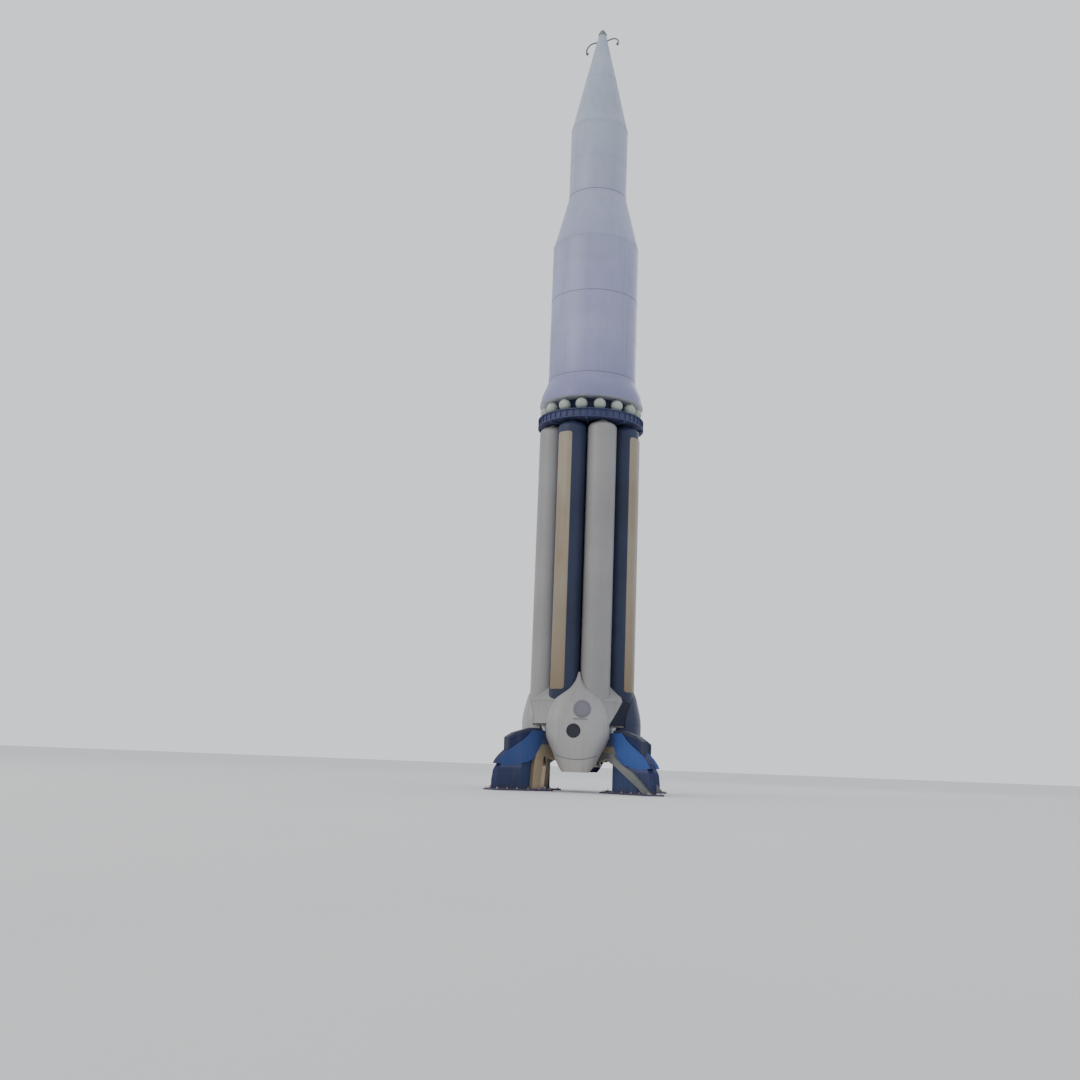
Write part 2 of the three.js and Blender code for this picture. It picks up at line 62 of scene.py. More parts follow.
# Shapes. Each returns (vertices, faces), which piece() joins into one named object.
def turned(profile, sides, at=Matrix(), closed=False):
    """A profile of (radius, z) points turned about Z. A closed profile is the section of a ring."""
    verts, faces, rows = [], [], []
    for r, z in profile:
        count = sides if r > 0 else 1
        rows.append(range(len(verts), len(verts) + count))
        for i in range(count):
            angle = 2 * math.pi * i / sides
            verts.append(at @ Vector((r * math.cos(angle), r * math.sin(angle), z)))
    pairs = list(zip(rows, rows[1:]))
    if closed:
        pairs.append((rows[-1], rows[0]))
    for low, high in pairs:
        for i in range(sides):
            j = (i + 1) % sides
            corners = (low[i % len(low)], low[j % len(low)], high[j % len(high)], high[i % len(high)])
            faces.append(list(dict.fromkeys(corners)))
    return verts, faces


def ring(r0, r1, z0, z1, sides, at=Matrix()):
    return turned([(r0, z0), (r1, z0), (r1, z1), (r0, z1)], sides, at, closed=True)


def disc(radius, z0, z1, sides, at, chamfer):
    """A flat round plate with a chamfered upper edge."""
    return turned([(0, z0), (radius, z0), (radius, z1 - chamfer), (radius - chamfer, z1), (0, z1)], sides, at)


def ball(radius, at, sides):
    half = sides // 2
    angles = [math.pi * i / half for i in range(half + 1)]
    arc = [(radius * math.sin(a), -radius * math.cos(a)) for a in angles]
    arc[0], arc[-1] = (0, -radius), (0, radius)
    return turned(arc, sides, at)


def tube(points, radius, sides, at=Matrix()):
    """A round tube along points, closed at both ends."""
    path = [Vector(p) for p in points]
    verts, faces = [], []
    across = None
    for i, p in enumerate(path):
        along = (path[min(i + 1, len(path) - 1)] - path[max(i - 1, 0)]).normalized()
        if across is None:
            across = along.orthogonal().normalized()
        across = (across - along * across.dot(along)).normalized()
        third = along.cross(across)
        for k in range(sides):
            angle = 2 * math.pi * k / sides
            verts.append(at @ (p + (across * math.cos(angle) + third * math.sin(angle)) * radius))
    for i in range(len(path) - 1):
        for k in range(sides):
            low, next_low = i * sides + k, i * sides + (k + 1) % sides
            faces.append([low, next_low, next_low + sides, low + sides])
    faces.append(list(range(sides))[::-1])
    faces.append(list(range(len(verts) - sides, len(verts))))
    return verts, faces


def curved(corners, steps):
    """Points on a smooth curve through the corners."""
    ends = [2 * Vector(corners[0]) - Vector(corners[1])], [2 * Vector(corners[-1]) - Vector(corners[-2])]
    knots = ends[0] + [Vector(c) for c in corners] + ends[1]
    points = []
    for a, b, c, d in zip(knots, knots[1:], knots[2:], knots[3:]):
        square, cube = 2 * a - 5 * b + 4 * c - d, 3 * b - a - 3 * c + d
        for i in range(steps):
            t = i / steps
            points.append(0.5 * (2 * b + (c - a) * t + square * t**2 + cube * t**3))
    return points + [knots[-2]]


def block(x, y, z, at):
    """A box from (low, high) pairs along each axis."""
    corners = [(x[0], y[0]), (x[1], y[0]), (x[1], y[1]), (x[0], y[1])]
    verts = [at @ Vector((i, j, k)) for k in z for i, j in corners]
    sides = [[i, (i + 1) % 4, 4 + (i + 1) % 4, 4 + i] for i in range(4)]
    return verts, [[3, 2, 1, 0], [4, 5, 6, 7], *sides]


def plate(outline, width, at=Matrix()):
    """An outline of (radial, z) corners with its thickness centred on the XZ plane."""
    count = len(outline)
    verts = [at @ Vector((x, side * width / 2, z)) for side in (-1, 1) for x, z in outline]
    faces = [list(range(count)), list(range(count, 2 * count))[::-1]]
    faces += [[i, count + i, count + (i + 1) % count, (i + 1) % count] for i in range(count)]
    return verts, faces


def sheet(us, vs, point):
    """A grid of faces over a function that gives a point for each (u, v)."""
    width = len(us)
    firsts = [j * width + i for j in range(len(vs) - 1) for i in range(width - 1)]
    faces = [[first, first + 1, first + width + 1, first + width] for first in firsts]
    return [point(u, v) for v in vs for u in us], faces


def joined(shapes):
    verts, faces = [], []
    for shape_verts, shape_faces in shapes:
        faces += [[len(verts) + i for i in face] for face in shape_faces]
        verts += shape_verts
    return verts, faces


def each(number, shapes):
    """The shapes as parts that share a material number."""
    return [(number, shape) for shape in shapes]


def turn(degrees):
    return Matrix.Rotation(degrees * DEG, 4, "Z")


def move(x, y, z):
    return Matrix.Translation((x, y, z))


FACE_OUT = Matrix.Rotation(math.pi / 2, 4, "Y")  # a shape made along Z then points along +X


def outward(degrees, radius, z, aside=0.0):
    """A frame on a wall: its Z points away from the rocket's axis."""
    return turn(degrees) @ move(radius, aside, z) @ FACE_OUT


def bolts(frames, radius, height=0.012, sides=8):
    """Small domed heads, one standing on each frame."""
    head = [(radius, -0.004), (radius, height * 0.4), (radius * 0.6, height), (0, height)]
    return joined([turned(head, sides, at) for at in frames])


def bolt_row(count, radius, z, start, size):
    return bolts([outward(start + 360 * i / count, radius, z) for i in range(count)], size)


def around(count, start, x, y, z):
    """Boxes at equal steps round the rocket's axis."""
    return [block(x, y, z, turn(start + 360 * i / count)) for i in range(count)]


def spots_round(count, radius, z, at=Matrix()):
    """Frames at equal steps round a frame's axis."""
    return [at @ turn(360 * i / count) @ move(radius, 0, z) for i in range(count)]


def circle(radius, z, degrees):
    return [(radius * math.cos(t * DEG), radius * math.sin(t * DEG), z) for t in degrees]


def quarter_arc(r0, z0, r1, z1):
    """A profile that is upright at its first point and level at its last."""
    angles = [i * math.pi / 24 for i in range(12)]
    arc = [(r0 + (r1 - r0) * (1 - math.cos(a)), z0 + (z1 - z0) * math.sin(a)) for a in angles]
    return [*arc, (r1, z1)]


def curve_profile(points, steps):
    """A profile made smooth between its corners, without moving its ends."""
    return [(p.x, p.z) for p in curved([(r, 0, z) for r, z in points], steps)]


def radius_at(profile, z):
    for (r0, z0), (r1, z1) in zip(profile, profile[1:]):
        if z0 <= z <= z1:
            return r0 + (r1 - r0) * (z - z0) / (z1 - z0)
    return profile[-1][0] if z > profile[-1][1] else profile[0][0]


def linked(name, data):
    made = bpy.data.objects.new(name, data)
    bpy.context.scene.collection.objects.link(made)
    return made


def as_object(name, shape):
    """A plain object in full-size metres, for cutting."""
    mesh = bpy.data.meshes.new(name)
    mesh.from_pydata([tuple(v) for v in shape[0]], [], shape[1])
    return linked(name, mesh)


def carved(shape, cutters):
    """The shape after each closed cutter is taken from it."""
    solid = as_object("solid", shape)
    tools = [as_object("cutter", cutter) for cutter in cutters]
    for tool in tools:
        cut = solid.modifiers.new("cut", "BOOLEAN")
        cut.operation, cut.solver, cut.object = "DIFFERENCE", "EXACT", tool
    result = bpy.data.meshes.new_from_object(solid.evaluated_get(bpy.context.evaluated_depsgraph_get()))
    verts = [v.co.copy() for v in result.vertices]
    faces = [list(p.vertices) for p in result.polygons]
    for spent in (solid.data, *[tool.data for tool in tools], result):
        bpy.data.meshes.remove(spent)
    return verts, faces


def piece(name, parts, materials, slot, body="rocket", replaces=(), bevel=0.0, thickness=0.0, sharp=32):
    """One object on a body. A part is (material number, shape); bevel and thickness are in model metres."""
    verts, faces, numbers = [], [], []
    for number, (part_verts, part_faces) in parts:
        faces += [[len(verts) + i for i in face] for face in part_faces]
        verts += [tuple(v * SCALE) for v in part_verts]
        numbers += [number] * len(part_faces)
    mesh = bpy.data.meshes.new(name)
    mesh.from_pydata(verts, [], faces)
    mesh.polygons.foreach_set("material_index", numbers)
    mesh.shade_smooth()
    mesh.set_sharp_from_angle(angle=sharp * DEG)
    for material in materials:
        mesh.materials.append(material)
    made = linked(name, mesh)
    if thickness:
        solidify = made.modifiers.new("thickness", "SOLIDIFY")
        solidify.thickness, solidify.offset = thickness, -1
    if bevel:
        soften(made, bevel)
    if replaces:
        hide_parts(*replaces)
    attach(made, body)
    return made


def soften(made, width):
    edge = made.modifiers.new("soft edges", "BEVEL")
    edge.width, edge.segments, edge.limit_method, edge.angle_limit = width, 2, "ANGLE", 40 * DEG
    edge.harden_normals = True


# Materials. Each is made of nodes only, from the place on the object, in the model's own metres.
class Nodes:
    """A new material with short calls for the nodes used here."""

    def __init__(self, name):
        self.material = bpy.data.materials.new(name)
        self.material.use_nodes = True
        self.tree = self.material.node_tree
        self.shader = self.tree.nodes["Principled BSDF"]
        coordinates = self.tree.nodes.new("ShaderNodeTexCoord")
        self.place = coordinates.outputs["Object"]
        self.facing = coordinates.outputs["Normal"]

    def put(self, socket, value):
        if isinstance(value, bpy.types.NodeSocket):
            self.tree.links.new(value, socket)
        else:
            socket.default_value = value

    def add(self, kind, inputs, **settings):
        node = self.tree.nodes.new("ShaderNode" + kind)
        for key, value in settings.items():
            setattr(node, key, value)
        for key, value in inputs.items():
            self.put(node.inputs[key], value)
        return node

    def math(self, operation, a, b=0.0, c=0.0):
        return self.add("Math", {0: a, 1: b, 2: c}, operation=operation).outputs[0]

    def noise(self, scale, detail, stretch=(1, 1, 1), seed=0.0):
        where = self.add("Mapping", {"Vector": self.place, "Scale": stretch, "Location": (seed, 0, 0)})
        sizes = {"Vector": where.outputs[0], "Scale": scale, "Detail": detail}
        return self.add("TexNoise", sizes).outputs[0]

    def step(self, value, low, high):
        """0 below low, 1 above high, straight between."""
        return self.add("MapRange", {"Value": value, "From Min": low, "From Max": high}).outputs[0]

    def mix(self, factor, first, second, blend="MIX"):
        ends = {"Fac": factor, "Color1": opaque(first), "Color2": opaque(second)}
        return self.add("MixRGB", ends, blend_type=blend).outputs[0]

    def times(self, first, *others):
        for other in others:
            first = self.math("MULTIPLY", first, other)
        return first

    def axis(self, vector, name):
        return self.add("SeparateXYZ", {"Vector": vector}).outputs[name]

    def height(self):
        return self.axis(self.place, "Z")

    def ragged_height(self, scale, detail, spread):
        """The height with noise added, for edges of dirt and heat that aren't level."""
        return self.math("MULTIPLY_ADD", self.noise(scale, detail), spread, self.height())

    def bump(self, *layers):
        """Each layer is (height, distance in metres, strength)."""
        below = None
        for height, distance, strength in layers:
            inputs = {"Height": height, "Distance": distance, "Strength": strength}
            if below:
                inputs["Normal"] = below
            below = self.add("Bump", inputs).outputs[0]
        self.put(self.shader.inputs["Normal"], below)

    def specular(self, level):
        self.shader.inputs["Specular IOR Level"].default_value = level

    def finish(self, colour, roughness, spread=0.12, scale=3.0, metallic=0.0):
        """The colour, and a roughness that varies by the spread over patches of the scale."""
        patches = self.noise(scale, 6, seed=5.0)
        uneven = self.math("MULTIPLY_ADD", patches, spread, roughness - spread / 2)
        self.put(self.shader.inputs["Base Color"], opaque(colour))
        self.put(self.shader.inputs["Roughness"], uneven)
        self.shader.inputs["Metallic"].default_value = metallic
        return self.material


def opaque(colour):
    return colour if isinstance(colour, bpy.types.NodeSocket) else (*colour[:3], 1.0)


DIRT = (0.16, 0.14, 0.11)
DIRT_ON_BLACK = (0.06, 0.065, 0.08)
RUST = (0.13, 0.05, 0.02)
PRIMER = (0.12, 0.13, 0.16)


def rain_streaks(nodes):
    """Long narrow upright patches."""
    return nodes.step(nodes.noise(7.0, 6, (1, 1, 0.045), 3.0), 0.52, 0.78)


def aged_paint(nodes, colour, mottle=0.07, streak=0.2, dirt=DIRT):
    """Paint tones on sheet metal: large faded patches, and dirt that the rain drew down in streaks."""
    patches = nodes.step(nodes.noise(0.5, 5), 0.38, 0.62)
    shades = nodes.mix(patches, (1 - mottle,) * 3, (1 + mottle,) * 3)
    faded = nodes.mix(1.0, colour, shades, "MULTIPLY")
    return nodes.mix(nodes.times(rain_streaks(nodes), streak), faded, dirt)


def sheet_bump(nodes, dents=0.35):
    """Shallow dents of thin sheet, and the fine peel of sprayed paint."""
    nodes.bump((nodes.noise(1.3, 2, seed=9.0), 0.01, dents), (nodes.noise(260, 2), 0.0004, 0.25))


NOSE_TONE = (0.35, 0.4, 0.49)
STAGE_TONE = (0.3, 0.31, 0.48)
ADAPTER_TONE = (0.185, 0.19, 0.345)
TANK_TONE = (0.25, 0.247, 0.248)
TAIL_TONE = (0.337, 0.333, 0.332)
BLACK_TONE = (0.021, 0.029, 0.064)


def upper_white():
    """White that is darkest and bluest at the adapter and palest at the nose; faces turned downwards get a
    paler white, a painted light on the adapter's underside.
    """
    n = Nodes("upper_white")
    height = n.height()
    tone = n.mix(n.step(height, 11.9, 14.2), ADAPTER_TONE, STAGE_TONE)
    # Faces turned downwards are paler: painted light on the undersides.
    tone = n.mix(n.step(n.axis(n.facing, "Z"), -0.8, -0.95), tone, (0.62, 0.64, 0.7))
    colour = aged_paint(n, n.mix(n.step(height, 16.0, 21.5), tone, NOSE_TONE))
    sheet_bump(n)
    return n.finish(colour, 0.42)


def tank_white():
    n = Nodes("tank_white")
    colour = aged_paint(n, TANK_TONE)
    sheet_bump(n)
    return n.finish(colour, 0.45)


def sealant():
    """Dark weathered sealant along a lap joint."""
    n = Nodes("sealant")
    colour = n.mix(n.noise(12, 5), (0.06, 0.062, 0.085), (0.13, 0.13, 0.16))
    n.bump((n.noise(160, 4), 0.0005, 0.5))
    return n.finish(colour, 0.7, 0.15)


def tail_paint(n):
    """The tanks' white at the top of the tail, creamier below, with dirt and painted shade that grow towards
    the ground.
    """
    height = n.ragged_height(2.0, 5, 0.5)
    creamy = n.mix(n.step(height, 3.3, 2.3), TANK_TONE, TAIL_TONE)
    streaked = n.mix(n.times(rain_streaks(n), 0.28), creamy, DIRT)
    # Darker and browner low on the shrouds: partly dirt, partly painted shade.
    return n.mix(n.times(n.step(height, 1.9, 0.7), 0.3), streaked, (0.27, 0.23, 0.16))


def tail_white():
    n = Nodes("tail_white")
    colour = tail_paint(n)
    sheet_bump(n)
    return n.finish(colour, 0.45)


def black_paint():
    n = Nodes("black_paint")
    colour = aged_paint(n, BLACK_TONE, mottle=0.2, streak=0.12, dirt=DIRT_ON_BLACK)
    sheet_bump(n)
    n.specular(0.3)
    return n.finish(colour, 0.48, 0.16)


# How far the drum's black side reaches from its middle, at the right back, and how that shrinks upwards.
BLACK_REACH, BLACK_SLANT = 101 * DEG, -12 * DEG / SCALE


def drum_paint():
    """White with a black side at the right and back, parted along slanted lines; the black is darker than the
    shrouds' black paint, a painted shade in the recess between the shrouds.
    """
    n = Nodes("drum_paint")
    white = tail_paint(n)
    # This black is darker than the black paint elsewhere: painted shade between the shrouds.
    black = aged_paint(n, (0.012, 0.015, 0.032), mottle=0.2, streak=0.08, dirt=DIRT_ON_BLACK)
    x, y, z = (n.axis(n.place, name) for name in "XYZ")
    across = n.math("ABSOLUTE", n.math("SUBTRACT", x, y))
    from_corner = n.math("ARCTAN2", across, n.math("ADD", x, y))
    height = n.math("SUBTRACT", z, DRUM_Z * SCALE)
    edge = n.math("MULTIPLY_ADD", height, BLACK_SLANT, BLACK_REACH)
    in_black = n.step(n.math("SUBTRACT", edge, from_corner), -0.002, 0.002)
    sheet_bump(n)
    n.specular(0.15)
    return n.finish(n.mix(in_black, white, black), 0.48)


def strip_paint():
    """The pale strip on a black tank, faded and stained."""
    n = Nodes("strip_paint")
    faded = n.mix(n.step(n.height(), 3.0, 6.5), (0.2, 0.15, 0.09), (0.27, 0.228, 0.165))
    colour = aged_paint(n, faded, streak=0.3)
    blotches = n.step(n.noise(1.3, 7, (1, 1, 0.3), 8.0), 0.5, 0.68)
    colour = n.mix(n.times(blotches, 0.5), colour, (0.2, 0.13, 0.07))
    sheet_bump(n, 0.25)
    return n.finish(colour, 0.5)


# Dark navy of the beam, the core and the sphere shelf and pipes: partly their paint, partly painted shade in
# the band under the flare.
def navy_and_painted_shade():
    n = Nodes("navy_and_painted_shade")
    colour = aged_paint(n, (0.046, 0.054, 0.12), mottle=0.25, streak=0.15, dirt=(0.12, 0.12, 0.12))
    n.bump((n.noise(60, 5), 0.0008, 0.4), (n.noise(3, 3), 0.003, 0.3))
    n.specular(0.3)
    return n.finish(colour, 0.6, 0.2, 8)


def sphere_paint():
    n = Nodes("sphere_paint")
    colour = aged_paint(n, (0.35, 0.4, 0.35), streak=0.25)
    n.bump((n.noise(180, 3), 0.0004, 0.3))
    return n.finish(colour, 0.38)


def shield_coating():
    """Heat-proof coating under the tail, scorched in patches and crazed."""
    n = Nodes("shield_coating")
    scorch = n.step(n.noise(2.4, 8), 0.42, 0.66)
    colour = n.mix(scorch, (0.2, 0.19, 0.18), (0.07, 0.065, 0.06))
    cracks = n.add("TexVoronoi", {"Vector": n.place, "Scale": 9.0}, feature="DISTANCE_TO_EDGE").outputs[0]
    n.bump((n.step(cracks, 0.0, 0.03), 0.002, 0.6), (n.noise(90, 6), 0.001, 0.5))
    return n.finish(colour, 0.8, 0.15)


def bell_metal():
    """Nickel-alloy tubes of a bell, blued and browned by heat towards the throat."""
    n = Nodes("bell_metal")
    heat = n.step(n.ragged_height(3, 6, 0.5), 1.0, 1.9)
    colour = n.mix(heat, (0.36, 0.33, 0.3), (0.2, 0.16, 0.15))
    soot = n.step(n.noise(6, 8, (1, 1, 0.3), 4.0), 0.5, 0.75)
    colour = n.mix(n.times(soot, 0.5), colour, (0.06, 0.055, 0.05))
    n.bump((n.noise(120, 5, (1, 1, 0.1)), 0.0008, 0.4))
    return n.finish(colour, 0.38, 0.2, 12, metallic=0.85)


def bare_steel():
    """Machined and welded steel with a brushed grain."""
    n = Nodes("bare_steel")
    stain = n.step(n.noise(9, 7), 0.45, 0.7)
    colour = n.mix(stain, (0.42, 0.41, 0.4), (0.24, 0.21, 0.18))
    n.bump((n.noise(300, 3, (1, 1, 0.05)), 0.0004, 0.4))
    return n.finish(colour, 0.35, 0.2, 14, metallic=0.9)


def cast_metal():
    """Dull cast housings of the pumps."""
    n = Nodes("cast_metal")
    colour = n.mix(n.step(n.noise(14, 6), 0.4, 0.7), (0.19, 0.19, 0.2), (0.1, 0.095, 0.09))
    n.bump((n.noise(220, 6), 0.0008, 0.7))
    return n.finish(colour, 0.55, 0.15, 10, metallic=0.6)


def lamp_paint():
    n = Nodes("lamp_paint")
    colour = aged_paint(n, (0.17, 0.185, 0.19), mottle=0.15, streak=0.3)
    n.bump((n.noise(240, 4), 0.0003, 0.4))
    return n.finish(colour, 0.42, metallic=0.3)


def lamp_glass():
    """Thick red-brown lens, seen as a dark solid body."""
    n = Nodes("lamp_glass")
    ribs = n.add("TexWave", {"Vector": n.place, "Scale": 40.0}, bands_direction="Z").outputs["Fac"]
    colour = n.mix(ribs, (0.2, 0.03, 0.02), (0.3, 0.05, 0.03))
    n.bump((ribs, 0.001, 0.6))
    n.shader.inputs["Coat Weight"].default_value = 0.8
    return n.finish(colour, 0.15, 0.06)


def port_shaded_black():
    """Black cover of a shroud's round port, as dark as a shaded opening: partly its own black, partly painted
    shade.
    """
    n = Nodes("port_shaded_black")
    colour = n.mix(n.step(n.noise(5, 6), 0.4, 0.7), (0.006, 0.008, 0.015), (0.015, 0.016, 0.026))
    n.bump((n.noise(150, 5), 0.0006, 0.5))
    return n.finish(colour, 0.5, 0.2, 8)


def cover_paint():
    """Greyer paint of the round access cover."""
    n = Nodes("cover_paint")
    colour = aged_paint(n, (0.155, 0.15, 0.18), streak=0.25)
    sheet_bump(n, 0.2)
    return n.finish(colour, 0.45)


# How far across an arm the strut's plates and the leg's clockwise face stand, and over what tones change.
PLATE_SIDE, LEG_SIDE, TONE_EDGE = 0.24 * SCALE, 0.17 * SCALE, 0.0025


def arm_paint(n, colour, edge_tone=PRIMER):
    """Thick enamel on welded plate, chipped to primer and rusty at the foot."""
    tones = aged_paint(n, colour, mottle=0.12, streak=0.22)
    chips = n.step(n.noise(30, 9, seed=2.0), 0.7, 0.72)
    tones = n.mix(n.times(chips, 0.6), tones, edge_tone)
    low = n.step(n.ragged_height(5, 6, 0.35), 0.34, 0.16)
    tones = n.mix(n.times(low, 0.4), tones, RUST)
    n.bump((chips, 0.0006, -0.5), (n.noise(35, 4), 0.0008, 0.25))
    return tones


def across_arm(n):
    """How far a point is across its arm, counter-clockwise, in model metres. The arms stand on diagonals."""
    x, y = n.axis(n.place, "X"), n.axis(n.place, "Y")
    apart = n.math("SUBTRACT", n.math("ABSOLUTE", x), n.math("ABSOLUTE", y))
    quarter = n.math("SIGN", n.times(x, y))
    return n.times(apart, quarter, -math.sqrt(0.5))


def arm_blue():
    """Painted light and shade on the strut's blue: bright side plates, darker on the anticlockwise side, a
    paler painted highlight just below them, and painted shade on the shoulder, the foot and what faces
    outwards.
    """
    n = Nodes("arm_blue")
    x, y, z = (n.axis(n.place, name) for name in "XYZ")
    facing_x, facing_y = n.axis(n.facing, "X"), n.axis(n.facing, "Y")
    reach = n.math("SQRT", n.math("MULTIPLY_ADD", x, x, n.times(y, y)))
    cross = n.math("SUBTRACT", n.times(x, facing_y), n.times(y, facing_x))
    sideways = n.step(n.math("DIVIDE", n.math("ABSOLUTE", cross), reach), 0.5, 0.8)
    across = across_arm(n)
    on_plate = n.step(n.math("ABSOLUTE", across), PLATE_SIDE, PLATE_SIDE + TONE_EDGE)
    # Painted light: sideways faces of the plates above the foot are bright.
    lit_side_plates = n.times(sideways, on_plate, n.step(z, 0.68, 0.72))
    # The anticlockwise plates are a darker blue: painted shade on that side.
    plate_light_and_shade = n.mix(n.step(across, -0.01, 0.01), (0.036, 0.085, 0.275), (0.036, 0.068, 0.2))
    # Low on the sideways faces: a paler painted highlight just under the plates, painted shade on the foot.
    foot = n.mix(n.step(z, 0.6, 0.68), (0.032, 0.042, 0.095), (0.06, 0.075, 0.16))
    # Everything off the lit plates is painted shade; faces turned outwards and the shoulder get the darkest
    # blue.
    dark = n.mix(n.times(sideways, n.step(z, 0.8, 0.74)), (0.014, 0.02, 0.075), foot)
    tone = n.mix(lit_side_plates, dark, plate_light_and_shade)
    n.specular(0.25)
    return n.finish(arm_paint(n, tone), 0.6, 0.15)


def cap_paint():
    """Slate blue of the flange along the shoulder."""
    n = Nodes("cap_paint")
    n.specular(0.25)
    return n.finish(arm_paint(n, (0.03, 0.038, 0.065)), 0.6, 0.15)


def base_blue():
    n = Nodes("base_blue")
    return n.finish(arm_paint(n, (0.022, 0.045, 0.12)), 0.5, 0.15)


def arm_cream():
    """Cream leg; the head above it is blue-grey, painted shade on the cream, and the brace on the clockwise
    side pale grey.
    """
    n = Nodes("arm_cream")
    z = n.height()
    # The head's blue-grey is the cream in painted shade.
    upper = n.mix(n.step(z, 2.62 * SCALE, 2.72 * SCALE), (0.3, 0.255, 0.18), (0.08, 0.1, 0.18))
    tone = n.mix(n.step(z, 2.2 * SCALE, 2.4 * SCALE), (0.34, 0.265, 0.175), upper)
    on_brace = n.step(across_arm(n), -LEG_SIDE, -LEG_SIDE - TONE_EDGE)
    below = n.step(z, 2.34 * SCALE, 2.3 * SCALE)
    grey = n.mix(n.step(z, 0.2, 0.75), (0.13, 0.134, 0.13), (0.165, 0.173, 0.173))
    tone = n.mix(n.times(on_brace, below), tone, grey)
    return n.finish(arm_paint(n, tone, (0.14, 0.085, 0.045)), 0.5, 0.15)


def pad_paint():
    n = Nodes("pad_paint")
    colour = aged_paint(n, (0.6, 0.65, 0.7), streak=0.3)
    n.bump((n.noise(50, 5), 0.0006, 0.4))
    return n.finish(colour, 0.45)


def floor_surface():
    n = Nodes("floor")
    colour = n.mix(n.noise(0.4, 6), (0.62, 0.63, 0.63), (0.68, 0.68, 0.67))
    n.bump((n.noise(30, 6), 0.002, 0.2))
    return n.finish(colour, 0.8, 0.1)


WHITE, TANK_WHITE, TAIL_WHITE, BLACK = upper_white(), tank_white(), tail_white(), black_paint()
DRUM, STRIP, SEALANT = drum_paint(), strip_paint(), sealant()
BEAM, SPHERE, SHIELD = navy_and_painted_shade(), sphere_paint(), shield_coating()
BELL, STEEL, CAST = bell_metal(), bare_steel(), cast_metal()
LAMP, LENS, PORT, COVER = lamp_paint(), lamp_glass(), port_shaded_black(), cover_paint()
BLUE, BASE_BLUE, CREAM, PAD, CAP = arm_blue(), base_blue(), arm_cream(), pad_paint(), cap_paint()


# Tanks: smooth skins with weld bands, and a pale strip on each black one.
WELDS = [7.4, 9.8, 12.2, 14.6, 17.0, 19.4, 21.5]
WELD_LIFT = 0.004
NECK_R = 0.3
STRIP_HALF, STRIP_SHIFT = 34 * DEG, -7 * DEG
STRIP_LOW, STRIP_HIGH, STRIP_CORNER = 5.9, 21.5, 0.16


def tank_shape(radius, at):
    """A cylinder with weld bands, a domed shoulder and a neck up to the beam."""
    low, high, raised = DRUM_RIM_Z + SEAM, BEAM_Z - SEAM, radius + WELD_LIFT
    wall = [(0, low), (radius, low)]
    for z in WELDS:
        wall += [(radius, z - 0.03), (raised, z - 0.02), (raised, z + 0.02), (radius, z + 0.03)]
    dome = quarter_arc(radius, SHOULDER_Z, NECK_R, CROWN_Z)
    return turned([*wall, *dome, (NECK_R, high), (0, high)], TANK_SIDES, at)


def strip_shape(degrees):
    """A thin curved sheet with rounded corners on the tank's outward side."""
    radius = TANK_R + 0.007

    def half_width(z):
        inset = max(STRIP_LOW + STRIP_CORNER - z, z - (STRIP_HIGH - STRIP_CORNER), 0)
        lost = STRIP_CORNER - math.sqrt(max(STRIP_CORNER**2 - inset**2, 0))
        return STRIP_HALF - lost / radius

    corner = [STRIP_CORNER * (1 - math.cos(i * math.pi / 16)) for i in range(9)]
    straight = STRIP_HIGH - STRIP_LOW - 2 * STRIP_CORNER
    rows = [STRIP_LOW + c for c in corner]
    rows += [STRIP_LOW + STRIP_CORNER + straight * i / 24 for i in range(1, 24)]
    rows += [STRIP_HIGH - c for c in reversed(corner)]

    def point(u, z):
        angle = STRIP_SHIFT + u * half_width(z)
        at = turn(degrees) @ move(PITCH_R, 0, 0)
        return at @ Vector((radius * math.cos(angle), radius * math.sin(angle), z))

    return sheet([i / 8 - 1 for i in range(17)], rows, point)


def add_tanks():
    for kind, turns, material, slot in (
        ("oxidiser", OXIDISER_TANKS, TANK_WHITE, "white_skin"),
        ("fuel", FUEL_TANKS, BLACK, "black_skin"),
    ):
        for i, degrees in enumerate(turns, 1):
            parts = [(0, tank_shape(TANK_R, turn(degrees) @ move(PITCH_R, 0, 0)))]
            piece(f"{kind}_tank_skin_{i}", parts, [material], slot, replaces=[f"{kind}_tank_{i}"], sharp=12)
    for i, degrees in enumerate(FUEL_TANKS, 1):
        piece(f"fuel_tank_strip_{i}", [(0, strip_shape(degrees))], [STRIP], "white_skin", thickness=0.003)
    centre = tank_shape(CENTRE_R, Matrix())
    piece("centre_tank_skin", [(0, centre)], [TANK_WHITE], "white_skin", replaces=["centre_tank"], sharp=12)


# Tail: drum, shrouds and heat shield.
def tank_room(radius, pitch, degrees):
    """What a tank takes from the drum and the shrouds, with a little air round it."""
    out, low, high = radius + 0.012, DRUM_RIM_Z - 0.0005, 8
    at = turn(degrees) @ move(pitch, 0, 0)
    return turned([(0, low), (out, low), (out, high), (0, high)], TANK_SIDES, at)


